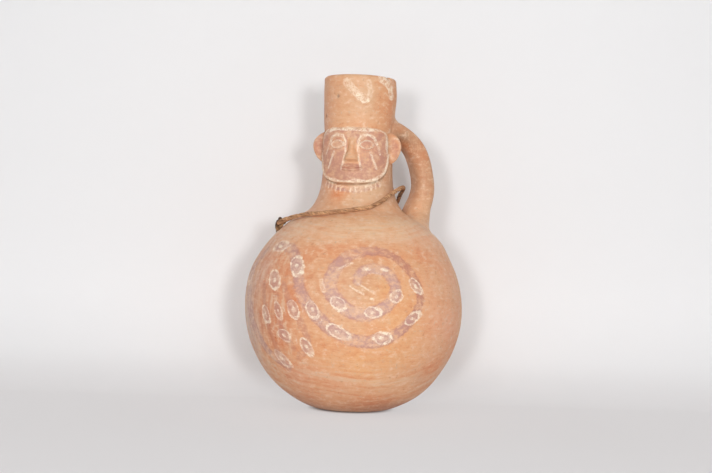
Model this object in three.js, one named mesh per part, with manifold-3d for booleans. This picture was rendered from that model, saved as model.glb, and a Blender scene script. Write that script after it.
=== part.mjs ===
// Figural clay bottle: round body, tubular neck shaped as a head, strap handle and a cord round the neck.
// Lengths in millimetres. +Z is up, the origin is the centre of the flat base, the figure looks toward -Y.
import * as THREE from "three";
import { mergeVertices } from "three/addons/utils/BufferGeometryUtils.js";
import Module from "manifold-3d";

const wasm = await Module();
wasm.setup();

const GAP = 0.3;
const SEAT = 0.45;

// body
const BODY_RADIUS = 73.2;
const EQUATOR_Z = 67;
const LOWER_DEPTH = 70.9;
const UPPER_HEIGHT = 73.5;
const WALL = 6;
const BODY_SEGMENTS = 48;

// neck, head and collar
const BORE_RADIUS = 18.5;
const TUBE_RADIUS = 23.1;
const FOOT_RADIUS = 30.8;
const FLARE = 5.4;
const FLARE_Z = 138.3;
const FLARE_LENGTH = 9.5;
const NECK_TOP_Z = 150.4;
const HEAD_TOP_Z = 190;
const COLLAR_RADIUS = 24.2;
const RIM_Z = 224.5;
const LIP_RADIUS = 2.4;
const NECK_SEGMENTS = 48;

// face
const FACE_AZIMUTH = 260;
const PLAQUE_THICKNESS = 2.1;
const FACE_RADIUS = TUBE_RADIUS + PLAQUE_THICKNESS;
const PLAQUE_HALF_WIDTH = 29.5;
const EAR_SPREAD = 80;

// handle and cord
const HANDLE_AZIMUTH = 22;
const CORD_RADIUS = 1.55;
const KNOT_CENTRE = [-52.9, 0, 123.2];

const CLAY = "#d8a47c";
const PAINTED = "#a8806c";
const PALE_CLAY = "#dcae88";
const CORD_BROWN = "#8a6a4c";

const rad = THREE.MathUtils.degToRad;
const signedPower = (x, p) => Math.sign(x) * Math.abs(x) ** p;

// shared helpers

function closed(geometry) {
  geometry.deleteAttribute("normal");
  geometry.deleteAttribute("uv");
  return mergeVertices(geometry, 1e-4);
}

function lathe(points, segments) {
  const geometry = new THREE.LatheGeometry(points, segments);
  geometry.rotateX(Math.PI / 2);
  return closed(geometry);
}

function fromTriangles(positions, index) {
  const geometry = new THREE.BufferGeometry();
  geometry.setAttribute("position", new THREE.Float32BufferAttribute(positions, 3));
  geometry.setIndex(index);
  return geometry;
}

function toManifold(geometry) {
  const merged = mergeVertices(geometry, 1e-4);
  const vertProperties = new Float32Array(merged.attributes.position.array);
  const triVerts = new Uint32Array(merged.index.array);
  return new wasm.Manifold(new wasm.Mesh({ numProp: 3, vertProperties, triVerts }));
}

function fromManifold(solid) {
  const mesh = solid.getMesh();
  return fromTriangles(Array.from(mesh.vertProperties), Array.from(mesh.triVerts));
}

function cut(geometry, ...cutters) {
  const solid = cutters.reduce((left, cutter) => left.subtract(toManifold(cutter)), toManifold(geometry));
  return fromManifold(solid);
}

function mesh(name, geometry, color, roughness) {
  const shaded = geometry.toNonIndexed();
  shaded.computeVertexNormals();
  const material = new THREE.MeshStandardMaterial({ color, roughness, metalness: 0 });
  const node = new THREE.Mesh(shaded, material);
  node.name = name;
  return node;
}

// Skin of rings with the same number of points, closed by a fan at each end.
function skin(rings) {
  const count = rings[0].length;
  const positions = [];
  const index = [];
  for (const ring of rings) for (const p of ring) positions.push(p.x, p.y, p.z);
  for (let i = 0; i < rings.length - 1; i += 1) {
    for (let j = 0; j < count; j += 1) {
      const a = i * count + j;
      const b = i * count + ((j + 1) % count);
      index.push(a, b, b + count, a, b + count, a + count);
    }
  }
  const last = rings.length - 1;
  for (const [ring, turn] of [[0, -1], [last, 1]]) {
    const centre = rings[ring].reduce((sum, p) => sum.add(p), new THREE.Vector3()).divideScalar(count);
    const hub = positions.length / 3;
    positions.push(centre.x, centre.y, centre.z);
    for (let j = 0; j < count; j += 1) {
      const a = ring * count + j;
      const b = ring * count + ((j + 1) % count);
      if (turn > 0) index.push(hub, a, b);
      else index.push(hub, b, a);
    }
  }
  return fromTriangles(positions, index);
}

// outside of the vessel as radius over height

function shoulderHeight(radius) {
  return EQUATOR_Z + UPPER_HEIGHT * Math.sqrt(1 - (radius / BODY_RADIUS) ** 2);
}

function shoulderRadius(z) {
  return BODY_RADIUS * Math.sqrt(Math.max(0, 1 - ((z - EQUATOR_Z) / UPPER_HEIGHT) ** 2));
}

function tubeRadius(z) {
  return TUBE_RADIUS + FLARE * Math.exp((FLARE_Z - z) / FLARE_LENGTH);
}

function collarRadius(z) {
  return 23.5 + (COLLAR_RADIUS - 23.5) * Math.min(1, (z - HEAD_TOP_Z) / 24);
}

function outerRadius(z) {
  if (z > HEAD_TOP_Z) return collarRadius(z);
  return Math.max(shoulderRadius(z), z > 128 ? tubeRadius(z) : 0);
}

// Solid that fills the whole vessel and stands off its outside by one gap.
function vesselCutter(gap = GAP) {
  const points = [new THREE.Vector2(0, 60), new THREE.Vector2(BODY_RADIUS + gap, 60)];
  for (let i = 0; i <= 60; i += 1) {
    const z = EQUATOR_Z + (HEAD_TOP_Z - 0.5 - EQUATOR_Z) * (i / 60) ** 0.8;
    points.push(new THREE.Vector2(outerRadius(z) + gap * (z < 133 ? 1.35 : 1), z));
  }
  points.push(new THREE.Vector2(COLLAR_RADIUS + gap, HEAD_TOP_Z));
  points.push(new THREE.Vector2(COLLAR_RADIUS + gap, RIM_Z + 2), new THREE.Vector2(0, RIM_Z + 2));
  return lathe(points, 96);
}

// quarter-ellipse profile about the axis, from one angle above the horizontal to another

function ellipsePoints(halfWidth, halfHeight, centreZ, from, to, steps) {
  const points = [];
  for (let i = 0; i <= steps; i += 1) {
    const a = from + ((to - from) * i) / steps;
    points.push(new THREE.Vector2(halfWidth * Math.cos(a), centreZ + halfHeight * Math.sin(a)));
  }
  return points;
}

// lower bowl with the flat base

function lowerBowl() {
  const top = EQUATOR_Z - GAP / 2;
  const baseAngle = -Math.asin(EQUATOR_Z / LOWER_DEPTH);
  const outer = ellipsePoints(BODY_RADIUS, LOWER_DEPTH, EQUATOR_Z, baseAngle, 0, 13);
  const inner = ellipsePoints(BODY_RADIUS - WALL, top - WALL, top, 0, -Math.PI / 2, 8);
  outer[0].y = 0;
  outer[13].y = top;
  inner[8].x = 0;
  return lathe([new THREE.Vector2(0, 0), ...outer, ...inner], BODY_SEGMENTS);
}

// upper bowl with the round hole under the neck

function upperBowl() {
  const bottom = EQUATOR_Z + GAP / 2;
  const innerRadius = BODY_RADIUS - WALL;
  const outerTop = Math.acos(BORE_RADIUS / BODY_RADIUS);
  const innerTop = Math.acos(BORE_RADIUS / innerRadius);
  const outer = ellipsePoints(BODY_RADIUS, UPPER_HEIGHT, EQUATOR_Z, 0, outerTop, 13);
  const inner = ellipsePoints(innerRadius, UPPER_HEIGHT - WALL, bottom, innerTop, 0, 8);
  outer[0].y = bottom;
  return lathe([...outer, ...inner, outer[0].clone()], BODY_SEGMENTS);
}

// neck tube, its foot smeared out on the shoulder

function neckTube() {
  const top = NECK_TOP_Z - GAP / 2;
  const points = [];
  for (let i = 0; i <= 3; i += 1) {
    const r = BORE_RADIUS + ((FOOT_RADIUS - BORE_RADIUS) * i) / 3;
    points.push(new THREE.Vector2(r, shoulderHeight(r) + GAP + 0.15));
  }
  const footZ = 134.75;
  for (let i = 0; i <= 7; i += 1) {
    const z = footZ + (top - footZ) * (i / 7) ** 1.4;
    points.push(new THREE.Vector2(Math.min(tubeRadius(z), FOOT_RADIUS), z));
  }
  points.push(new THREE.Vector2(BORE_RADIUS, top), points[0].clone());
  return lathe(points, BODY_SEGMENTS);
}

// head tube between neck and collar

function headTube() {
  const bottom = NECK_TOP_Z + GAP / 2;
  const top = HEAD_TOP_Z - GAP / 2;
  const points = [new THREE.Vector2(BORE_RADIUS, bottom)];
  for (let i = 0; i <= 4; i += 1) {
    const z = bottom + (top - bottom) * (i / 4) ** 1.6;
    points.push(new THREE.Vector2(tubeRadius(z), z));
  }
  points.push(new THREE.Vector2(BORE_RADIUS, top), points[0].clone());
  return lathe(points, NECK_SEGMENTS);
}

// spout collar with a rounded lip, worn as the figure's round hat

function spoutCollar() {
  const bottom = HEAD_TOP_Z + GAP / 2;
  const mouth = BORE_RADIUS + 0.6;
  const profile = new THREE.Path();
  profile.moveTo(BORE_RADIUS, bottom);
  profile.lineTo(collarRadius(bottom), bottom);
  profile.lineTo(collarRadius(202), 202);
  profile.lineTo(COLLAR_RADIUS, 214);
  profile.lineTo(COLLAR_RADIUS, RIM_Z - LIP_RADIUS);
  profile.absarc(COLLAR_RADIUS - LIP_RADIUS, RIM_Z - LIP_RADIUS, LIP_RADIUS, 0, Math.PI / 2, false);
  profile.absarc(mouth + LIP_RADIUS, RIM_Z - LIP_RADIUS, LIP_RADIUS, Math.PI / 2, Math.PI, false);
  profile.lineTo(BORE_RADIUS, 208);
  profile.lineTo(BORE_RADIUS, bottom);
  return lathe(profile.getPoints(2), NECK_SEGMENTS);
}

// face, built from patches that lie on the head; s runs across the face, z up it

const bump = (s, z, s0, z0, ws, wz) => Math.exp(-(((s - s0) / ws) ** 2) - ((z - z0) / wz) ** 2);

function onFace(s, z, radius) {
  const angle = rad(FACE_AZIMUTH) + s / FACE_RADIUS;
  return [radius * Math.cos(angle), radius * Math.sin(angle), z];
}

function faceRadius(s, z) {
  const side = Math.abs(s);
  const brow = 1.0 * bump(side, z, 8.5, 182.5, 8, 2.4);
  const socket = -0.8 * bump(side, z, 10, 177, 6, 3.4);
  const cheek = 0.9 * bump(side, z, 14, 169, 6.5, 6);
  const lips = 0.8 * bump(s, z, 0, 161.5, 10, 5);
  const chin = 1.5 * bump(s, z, 0, 154.8, 6.5, 3.6);
  return tubeRadius(z) + PLAQUE_THICKNESS + brow + socket + cheek + lips + chin;
}

// Patch with an outline in (s, z), an outside radius, an inside radius and the same number of points per ring.
function facePatch(outline, centre, outside, inside, sectors, rings) {
  const positions = [];
  const index = [];
  for (const surface of [outside, inside]) {
    positions.push(...onFace(centre[0], centre[1], surface(centre[0], centre[1], 0)));
    for (let i = 1; i <= rings; i += 1) {
      for (let j = 0; j < sectors; j += 1) {
        const [so, zo] = outline((j / sectors) * 2 * Math.PI);
        const k = Math.sin(((i / rings) * Math.PI) / 2);
        const s = centre[0] + (so - centre[0]) * k;
        const z = centre[1] + (zo - centre[1]) * k;
        positions.push(...onFace(s, z, surface(s, z, k)));
      }
    }
  }
  const back = 1 + rings * sectors;
  for (let j = 0; j < sectors; j += 1) {
    const n = (j + 1) % sectors;
    index.push(0, 1 + j, 1 + n, back, back + 1 + n, back + 1 + j);
    for (let i = 0; i < rings - 1; i += 1) {
      const a = 1 + i * sectors + j;
      const b = 1 + i * sectors + n;
      const c = a + sectors;
      const d = b + sectors;
      index.push(a, c, d, a, d, b, back + a, back + d, back + c, back + a, back + b, back + d);
    }
    const o = 1 + (rings - 1) * sectors + j;
    const p = 1 + (rings - 1) * sectors + n;
    index.push(o, back + o, back + p, o, back + p, p);
  }
  return fromTriangles(positions, index);
}

// Rounded outline about a point, squarer or rounder above and below it.
function roundedOutline(s0, z0, halfWidth, up, down, upPower, downPower) {
  return (t) => {
    const power = Math.sin(t) > 0 ? upPower : downPower;
    const height = Math.sin(t) > 0 ? up : down;
    const across = Math.abs(Math.cos(t) / halfWidth) ** power;
    const reach = (across + Math.abs(Math.sin(t) / height) ** power) ** (-1 / power);
    return [s0 + reach * Math.cos(t), z0 + reach * Math.sin(t)];
  };
}

// face plaque: brows, sockets, cheeks and chin in low relief

function facePlaque() {
  const outline = roundedOutline(0, 172, PLAQUE_HALF_WIDTH, 16.5, 21, 5, 2.6);
  const outside = (s, z, k) => faceRadius(s, z) - 0.9 * k ** 8;
  const inside = (s, z) => tubeRadius(z) + SEAT;
  return facePatch(outline, [0, 170], outside, inside, 40, 9);
}

function appliedPiece(outline, centre, thickness, sectors, rings) {
  const inside = (s, z) => faceRadius(s, z) + SEAT;
  const outside = (s, z, k) => faceRadius(s, z) + SEAT + thickness(s, z, k);
  return facePatch(outline, centre, outside, inside, sectors, rings);
}

// nose: narrow bridge widening to the wings

function nose() {
  const top = 180;
  const base = 165.8;
  const outline = (t) => {
    const z = (top + base) / 2 + ((top - base) / 2) * signedPower(Math.sin(t), 0.8);
    const low = (top - z) / (top - base);
    const half = 2.1 + 2.9 * THREE.MathUtils.smoothstep(low, 0.35, 0.9);
    return [half * signedPower(Math.cos(t), 0.8), z];
  };
  const thickness = (s, z, k) => {
    const low = (top - z) / (top - base);
    const rise = 1.2 + 4.6 * low ** 1.2 * (1 - Math.max(0, (low - 0.82) / 0.5));
    return 0.5 + rise * (1 - k ** 3);
  };
  return appliedPiece(outline, [0, 170.5], thickness, 24, 5);
}

// eyes: almond pellets with a raised lid line

function eye(side) {
  const s0 = side * 10;
  const outline = (t) => {
    const z = 177 + 2.9 * Math.sin(t) * (1 - 0.25 * Math.cos(t) ** 2);
    return [s0 + 5.2 * Math.cos(t), z];
  };
  const thickness = (s, z, k) => 0.5 + 1.1 * Math.sqrt(1 - (0.96 * k) ** 2) + 0.4 * Math.exp(-(((k - 0.78) / 0.12) ** 2));
  return appliedPiece(outline, [s0, 177], thickness, 20, 5);
}

// mouth: two closed lips in one pellet

function mouth() {
  const outline = (t) => [7.4 * Math.cos(t), 161.5 + 2.7 * Math.sin(t) * (1 - 0.3 * Math.cos(t) ** 2)];
  const thickness = (s, z, k) => {
    const parting = 0.7 * Math.exp(-(((z - 161.6) / 0.7) ** 2)) * (1 - k ** 2);
    return 0.5 + 1.4 * (1 - k ** 3) - parting;
  };
  return appliedPiece(outline, [0, 161.6], thickness, 24, 6);
}

// ears: half-round lugs with a shallow hollow in front

function ear(side, cutter) {
  const azimuth = FACE_AZIMUTH + side * EAR_SPREAD;
  const lug = new THREE.SphereGeometry(1, 20, 14);
  lug.rotateX(Math.PI / 2);
  lug.scale(9.2, 3.2, 10.8);
  const hollow = new THREE.SphereGeometry(1, 16, 10);
  hollow.rotateX(Math.PI / 2);
  hollow.scale(4.6, 1.6, 6);
  hollow.translate(2.2, side < 0 ? 3.4 : -3.4, 0);
  for (const part of [lug, hollow]) {
    part.translate(21, 0, 176);
    part.rotateZ(rad(azimuth));
  }
  return cut(closed(lug), closed(hollow), cutter);
}

// strap handle: rho, z, half thickness, half width along its centre line

const HANDLE_STATIONS = [
  [20.0, 189.8, 9.0, 12.0],
  [27.5, 188.8, 7.4, 10.6],
  [35.0, 184.8, 6.5, 10.0],
  [40.9, 177.8, 6.4, 10.0],
  [44.8, 169.2, 6.4, 9.8],
  [47.6, 158.5, 6.4, 9.6],
  [48.2, 150.5, 6.5, 9.6],
  [47.0, 143.5, 7.0, 10.0],
  [44.8, 137.5, 8.6, 11.0],
  [42.8, 129.0, 11.0, 13.0],
  [42.4, 114.0, 11.5, 14.0],
];

function handleStrap(cutter) {
  const line = new THREE.CatmullRomCurve3(HANDLE_STATIONS.map(([rho, z]) => new THREE.Vector3(rho, 0, z)));
  const size = new THREE.CatmullRomCurve3(HANDLE_STATIONS.map(([, , a, b]) => new THREE.Vector3(a, b, 0)));
  const rings = [];
  for (let i = 0; i <= 24; i += 1) {
    const centre = line.getPoint(i / 24);
    const along = line.getTangent(i / 24);
    const half = size.getPoint(i / 24);
    const ring = [];
    for (let j = 0; j < 20; j += 1) {
      const t = (j / 20) * 2 * Math.PI;
      const u = half.x * signedPower(Math.cos(t), 2 / 2.6);
      const v = half.y * signedPower(Math.sin(t), 2 / 2.6);
      const radius = centre.x - along.z * u;
      ring.push(new THREE.Vector3(radius, v, centre.z + along.x * u));
    }
    rings.push(ring.reverse());
  }
  const strap = skin(rings);
  strap.rotateZ(rad(HANDLE_AZIMUTH));
  return cut(strap, cutter);
}

// cord: azimuth in degrees, height of the clay it lies on, clearance from that clay

const CORD_STATIONS = [
  [185.4, 121.8, 3.4],
  [190, 123.9, 2.4],
  [198, 126.0, 0.9],
  [209, 127.6, 0.2],
  [221, 128.6, 0.2],
  [234, 129.2, 0.2],
  [247, 130.1, 0.2],
  [259, 131.2, 0.2],
  [272, 133.6, 0.2],
  [284, 136.2, 0.2],
  [296, 139.2, 0.2],
  [309, 142.0, 0.2],
  [323, 144.8, 0.2],
  [341, 147.6, 1.8],
  [357, 149.4, 4.4],
  [364, 148.6, 5.0],
  [374, 144.6, 3.2],
  [388, 138.4, 0.6],
  [410, 135.0, 0.2],
  [450, 133.6, 0.2],
  [485, 131.0, 0.2],
  [511, 127.6, 0.2],
  [522, 126.0, 0.9],
  [530, 123.9, 2.4],
  [534.6, 121.8, 3.4],
];

function cordPath() {
  const points = CORD_STATIONS.map(([azimuth, z, clear]) => {
    const slope = (outerRadius(z + 0.4) - outerRadius(z - 0.4)) / 0.8;
    const off = (CORD_RADIUS + GAP + clear) / Math.hypot(1, slope);
    const rho = outerRadius(z) + off;
    return new THREE.Vector3(rho * Math.cos(rad(azimuth)), rho * Math.sin(rad(azimuth)), z - slope * off);
  });
  return new THREE.CatmullRomCurve3(points, false, "centripetal");
}

function neckCord() {
  const ring = new THREE.Shape();
  for (let j = 0; j < 8; j += 1) {
    const t = (j / 8) * 2 * Math.PI;
    const [x, y] = [CORD_RADIUS * Math.cos(t), CORD_RADIUS * Math.sin(t)];
    if (j === 0) ring.moveTo(x, y);
    else ring.lineTo(x, y);
  }
  const options = { steps: 48, extrudePath: cordPath(), curveSegments: 1 };
  return closed(new THREE.ExtrudeGeometry(ring, options));
}

// knot: the two ends of the cord tied in one lump that rests on the shoulder

function cordEndRoom() {
  const path = cordPath();
  const [first, last] = [0, 1].map((end) => {
    const room = new THREE.SphereGeometry(CORD_RADIUS + GAP + 0.1, 12, 8);
    return toManifold(closed(room.translate(...path.getPoint(end).toArray())));
  });
  return fromManifold(first.add(last));
}

function cordKnot(cutter) {
  const lump = new THREE.SphereGeometry(1, 16, 10);
  lump.rotateX(Math.PI / 2);
  lump.scale(3.4, 4.4, 4.9);
  lump.rotateY(rad(12));
  lump.translate(...KNOT_CENTRE);
  return cut(closed(lump), cordEndRoom(), cutter);
}

const cutter = vesselCutter();
const bottle = new THREE.Group();
bottle.name = "figural_clay_bottle";
bottle.add(
  mesh("lower_bowl", lowerBowl(), CLAY, 0.75),
  mesh("upper_bowl", upperBowl(), CLAY, 0.75),
  mesh("neck_tube", neckTube(), CLAY, 0.75),
  mesh("head_tube", headTube(), CLAY, 0.75),
  mesh("spout_collar", spoutCollar(), PALE_CLAY, 0.75),
  mesh("face_plaque", facePlaque(), PAINTED, 0.8),
  mesh("nose", nose(), CLAY, 0.75),
  mesh("left_eye", eye(-1), PALE_CLAY, 0.8),
  mesh("right_eye", eye(1), PALE_CLAY, 0.8),
  mesh("mouth", mouth(), PAINTED, 0.8),
  mesh("left_ear", ear(-1, cutter), PAINTED, 0.8),
  mesh("right_ear", ear(1, cutter), PAINTED, 0.8),
  mesh("handle_strap", handleStrap(cutter), CLAY, 0.75),
  mesh("neck_cord", neckCord(), CORD_BROWN, 0.9),
  mesh("cord_knot", cordKnot(cutter), CORD_BROWN, 0.9),
);

export default bottle;
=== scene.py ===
import math

import bmesh
import bpy
import numpy as np
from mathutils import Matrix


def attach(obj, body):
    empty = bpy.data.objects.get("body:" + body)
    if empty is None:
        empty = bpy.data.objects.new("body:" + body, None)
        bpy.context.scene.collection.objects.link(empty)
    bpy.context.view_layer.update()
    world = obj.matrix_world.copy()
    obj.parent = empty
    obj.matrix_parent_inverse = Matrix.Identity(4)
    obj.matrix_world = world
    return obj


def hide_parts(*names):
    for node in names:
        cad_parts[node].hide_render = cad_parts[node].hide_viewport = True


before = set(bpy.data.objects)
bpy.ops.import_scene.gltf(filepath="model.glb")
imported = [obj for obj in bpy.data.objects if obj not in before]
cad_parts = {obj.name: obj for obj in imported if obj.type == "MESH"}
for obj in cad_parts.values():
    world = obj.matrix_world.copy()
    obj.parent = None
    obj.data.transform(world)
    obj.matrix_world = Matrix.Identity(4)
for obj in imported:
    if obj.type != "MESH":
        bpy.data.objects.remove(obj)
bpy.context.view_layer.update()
scene = bpy.context.scene
scene.view_settings.view_transform = "Standard"


# Camera
# It stands level with the upper body, nine tenths of a metre in front of the bottle. The bottle leans
# 1.8 degrees to the right in the picture, so the camera is rolled by that much the other way.
CAMERA_PLACE = (0.0003, -0.900, 0.1163)
LEAN = math.radians(1.8)
LENS = 67.1

camera_data = bpy.data.cameras.new("camera")
camera_data.lens = LENS
camera_data.sensor_width = 36
camera = bpy.data.objects.new("camera", camera_data)
camera.location = CAMERA_PLACE
camera.rotation_euler = (math.pi / 2, -LEAN, 0)
scene.collection.objects.link(camera)
scene.camera = camera


# Neck cord
# A loop of old brown plant-fibre cord, two plies twisted together, about 3 mm thick. It lies on the shoulder,
# climbs the front of the neck, passes through the handle and comes back round to its knot at the left.
MM = 0.001
# outside of the clay that the cord lies on: body, flare and foot of the neck, collar
BODY_RADIUS = 73.2
EQUATOR = 67.0
LOWER_DEPTH = 70.9
UPPER_HEIGHT = 73.5
TUBE_RADIUS = 23.1
FLARE = 5.4
FLARE_HEIGHT = 138.3
FLARE_LENGTH = 9.5
FOOT_START = 128.0
FOOT_SEAM = 132.7
FOOT_FILLET = 0.8
FOOT_FILLET_REACH = 3.0
HEAD_TOP = 190.0
COLLAR_FOOT_RADIUS = 23.5
COLLAR_SWELL = 0.7
COLLAR_SWELL_HEIGHT = 24.0
SLOPE_PROBE = 0.4
# unevenness of hand work is a sum of this many waves
WAVE_COUNT = 14
WAVE_PITCH = 2.2
WAVE_LEVEL = 3.7

CORD_RADIUS = 1.45
CORD_GAP = 0.3
CORD_TAIL = 2.2
CORD_SPACING = 0.45
PLY_HALF = (0.76, 1.18)
PLY_OFFSET = 0.66
PLY_SIDES = 16
PLY_START = 0.9
PLY_UNEVEN = 0.05
# the lay is tight near the knot and slackens along this run
PLY_PITCH = (13.0, 27.0)
SLACK_RUN = (10, 34)
FIBRE_TWIST = 0.8
# the stretch of cord with a painted shadow, where it passes through the gap between neck and handle: azimuth
# and reach in degrees
SHADOWED_AZIMUTH = 13
SHADOWED_REACH = 11
# azimuth in degrees, height of the clay that the cord lies on, clearance from that clay
CORD_STATIONS = [
    (185.4, 121.8, 2.0),
    (190, 123.9, 1.4),
    (198, 126.0, 0.5),
    (209, 127.6, 0.2),
    (221, 128.6, 0.2),
    (234, 129.2, 0.2),
    (247, 130.1, 0.2),
    (259, 131.2, 0.2),
    (272, 133.0, 0.2),
    (284, 134.4, 0.2),
    (296, 137.2, 0.2),
    (309, 140.7, 0.2),
    (323, 144.2, 0.2),
    (341, 147.6, 1.8),
    (357, 149.4, 4.4),
    (364, 148.6, 5.0),
    (374, 144.6, 3.2),
    (388, 138.4, 0.6),
    (410, 135.0, 0.2),
    (450, 133.6, 0.2),
    (485, 131.0, 0.2),
    (511, 127.6, 0.2),
    (522, 126.0, 0.5),
    (530, 123.9, 1.4),
    (534.6, 121.8, 2.0),
]


def smooth_share(low, high, value):
    """0 below low, 1 above high and a smooth rise between them."""
    t = np.clip((value - low) / (high - low), 0, 1)
    return t * t * (3 - 2 * t)


def clay_radius(z, fillet=0.0):
    """Radius of the outside of body, neck and collar at height z, with a fillet at the neck's foot."""
    z = np.asarray(z, float)
    depth = np.where(z > EQUATOR, UPPER_HEIGHT, LOWER_DEPTH)
    bowl = BODY_RADIUS * np.sqrt(np.clip(1 - ((z - EQUATOR) / depth) ** 2, 0, 1))
    tube = np.where(z > FOOT_START, TUBE_RADIUS + FLARE * np.exp((FLARE_HEIGHT - z) / FLARE_LENGTH), 0)
    soft = fillet * np.exp(-(((z - FOOT_SEAM) / FOOT_FILLET_REACH) ** 2))
    lower = (bowl + tube + np.sqrt((bowl - tube) ** 2 + soft**2)) / 2
    swell = COLLAR_SWELL * np.clip((z - HEAD_TOP) / COLLAR_SWELL_HEIGHT, 0, 1)
    return np.where(z > HEAD_TOP, COLLAR_FOOT_RADIUS + swell, lower)


def clay_slope(z, fillet=0.0):
    """How much that radius grows with each millimetre of height."""
    return (clay_radius(z + SLOPE_PROBE, fillet) - clay_radius(z - SLOPE_PROBE, fillet)) / (2 * SLOPE_PROBE)


def smooth_line(stations, spacing):
    """Centripetal Catmull-Rom line through the stations, resampled at an even spacing."""
    p = np.asarray(stations, float)
    p = np.vstack([2 * p[0] - p[1], p, 2 * p[-1] - p[-2]])
    samples = []
    for a, b, c, d in zip(p, p[1:], p[2:], p[3:]):
        before, along, after = (np.linalg.norm(step) ** 0.5 for step in (b - a, c - b, d - c))
        leave = ((b - a) / before - (c - a) / (before + along) + (c - b) / along) * along
        arrive = ((c - b) / along - (d - b) / (along + after) + (d - c) / after) * along
        t = np.linspace(0, 1, 24, endpoint=False)[:, None]
        cubic = (2 * b - 2 * c + leave + arrive) * t**3 + (3 * c - 3 * b - 2 * leave - arrive) * t**2
        samples.append(b + leave * t + cubic)
    samples = np.vstack([*samples, p[-2]])
    run = np.r_[0, np.cumsum(np.linalg.norm(np.diff(samples[:, :3], axis=0), axis=1))]
    even = np.linspace(0, run[-1], max(3, int(round(run[-1] / spacing)) + 1))
    return np.stack([np.interp(even, run, column) for column in samples.T], axis=1)


def unit(vectors):
    """The vectors at length one."""
    return vectors / np.linalg.norm(vectors, axis=1)[:, None]


def lumps(points, size, seed):
    """Smooth hand-made unevenness of a given size in mm, about -1 to 1, the same for the same place."""
    rng = np.random.default_rng(seed)
    waves = rng.normal(size=(WAVE_COUNT, 3)) * WAVE_PITCH / size
    phases = rng.uniform(0, math.tau, WAVE_COUNT)
    return np.sin(points @ waves.T + phases).sum(axis=1) / WAVE_LEVEL


def rolled(bm, along, around, place, layer=None):
    """Rolls a flat grid into a tube. place turns shares along and around it into points, and into marks."""
    verts = bmesh.ops.create_grid(bm, x_segments=along, y_segments=around, size=0.5)["verts"]
    flat = np.array([v.co for v in verts]) + 0.5
    points, marks = place(flat[:, 0], flat[:, 1])
    for i, vert in enumerate(verts):
        vert.co = points[i]
        if layer:
            vert[layer] = marks[i]
    bmesh.ops.remove_doubles(bm, verts=verts, dist=1e-4)


def close_up(bm):
    """Fills open ends and points the faces outward."""
    bmesh.ops.holes_fill(bm, edges=[e for e in bm.edges if e.is_boundary], sides=0)
    bmesh.ops.recalc_face_normals(bm, faces=bm.faces)


def make_piece(name, bm, material, crease=50):
    """Scales a finished mesh from millimetres to metres and makes it an object, smooth up to a crease."""
    bmesh.ops.triangulate(bm, faces=[f for f in bm.faces if len(f.verts) > 4])
    bmesh.ops.scale(bm, vec=(MM, MM, MM), verts=bm.verts)
    mesh = bpy.data.meshes.new(name)
    bm.to_mesh(mesh)
    bm.free()
    mesh.shade_smooth()
    mesh.set_sharp_from_angle(angle=math.radians(crease))
    mesh.materials.append(material)
    made = bpy.data.objects.new(name, mesh)
    scene.collection.objects.link(made)
    return made


def rgb(red, green, blue):
    """Linear colour of a display colour given from 0 to 255."""
    shares = (c / 255 for c in (red, green, blue))
    return (*((c / 12.92 if c < 0.04045 else ((c + 0.055) / 1.055) ** 2.4) for c in shares), 1)


class Finish:
    """A material under construction. Each call adds one node and returns its output socket."""

    def __init__(self, name):
        self.material = bpy.data.materials.new(name)
        self.material.use_nodes = True
        self.tree = self.material.node_tree
        self.shader = self.tree.nodes["Principled BSDF"]

    def add(self, kind, inputs, output=0, **settings):
        node = self.tree.nodes.new("ShaderNode" + kind)
        for key, value in settings.items():
            setattr(node, key, value)
        for key, value in inputs.items():
            self.put(node.inputs[key], value)
        return node.outputs[output]

    def put(self, socket, value):
        if isinstance(value, bpy.types.NodeSocket):
            self.tree.links.new(value, socket)
        else:
            socket.default_value = value

    def place(self, stretch=(1, 1, 1), source=None):
        """Object coordinates, stretched along each axis."""
        return self.add("Mapping", {"Vector": source or self.whole(), "Scale": stretch})

    def whole(self):
        """Plain Object coordinates."""
        return self.add("TexCoord", {}, "Object")

    def mark(self, name):
        """The vector that each vertex carries under a name."""
        return self.add("Attribute", {}, "Vector", attribute_name=name)

    def split(self, vector):
        """The three numbers of a vector."""
        node = self.tree.nodes.new("ShaderNodeSeparateXYZ")
        self.put(node.inputs[0], vector)
        return tuple(node.outputs)

    def noise(self, place, scale=1.0, detail=3.0, roughness=0.55):
        values = {"Vector": place, "Scale": scale, "Detail": detail, "Roughness": roughness}
        return self.add("TexNoise", values)

    def sum(self, *terms):
        """Terms added up, each a socket or a pair of socket and factor."""
        total = None
        for term in terms:
            socket, factor = term if isinstance(term, tuple) else (term, 1.0)
            last = 0.0 if total is None else total
            total = self.add("Math", {0: socket, 1: factor, 2: last}, operation="MULTIPLY_ADD")
        return total

    def times(self, a, b):
        return self.add("Math", {0: a, 1: b}, operation="MULTIPLY")

    def step(self, value, low, high, top=1.0):
        """A smooth rise from 0 at low to top at high."""
        values = {"Value": value, "From Min": low, "From Max": high, "To Max": top}
        return self.add("MapRange", values, interpolation_type="SMOOTHSTEP")

    def mix(self, share, under, over, blend="MIX"):
        return self.add("Mix", {0: share, 6: under, 7: over}, 2, data_type="RGBA", blend_type=blend)

    def surface(self, colour, roughness, height, bump_mm, specular=0.35):
        """Joins colour, roughness and bump to the shader and gives the finished material."""
        self.put(self.shader.inputs["Base Color"], colour)
        self.put(self.shader.inputs["Roughness"], roughness)
        self.put(self.shader.inputs["Specular IOR Level"], specular)
        bump = self.add("Bump", {"Height": height, "Distance": bump_mm * MM, "Strength": 1.0})
        self.put(self.shader.inputs["Normal"], bump)
        return self.material


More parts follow.
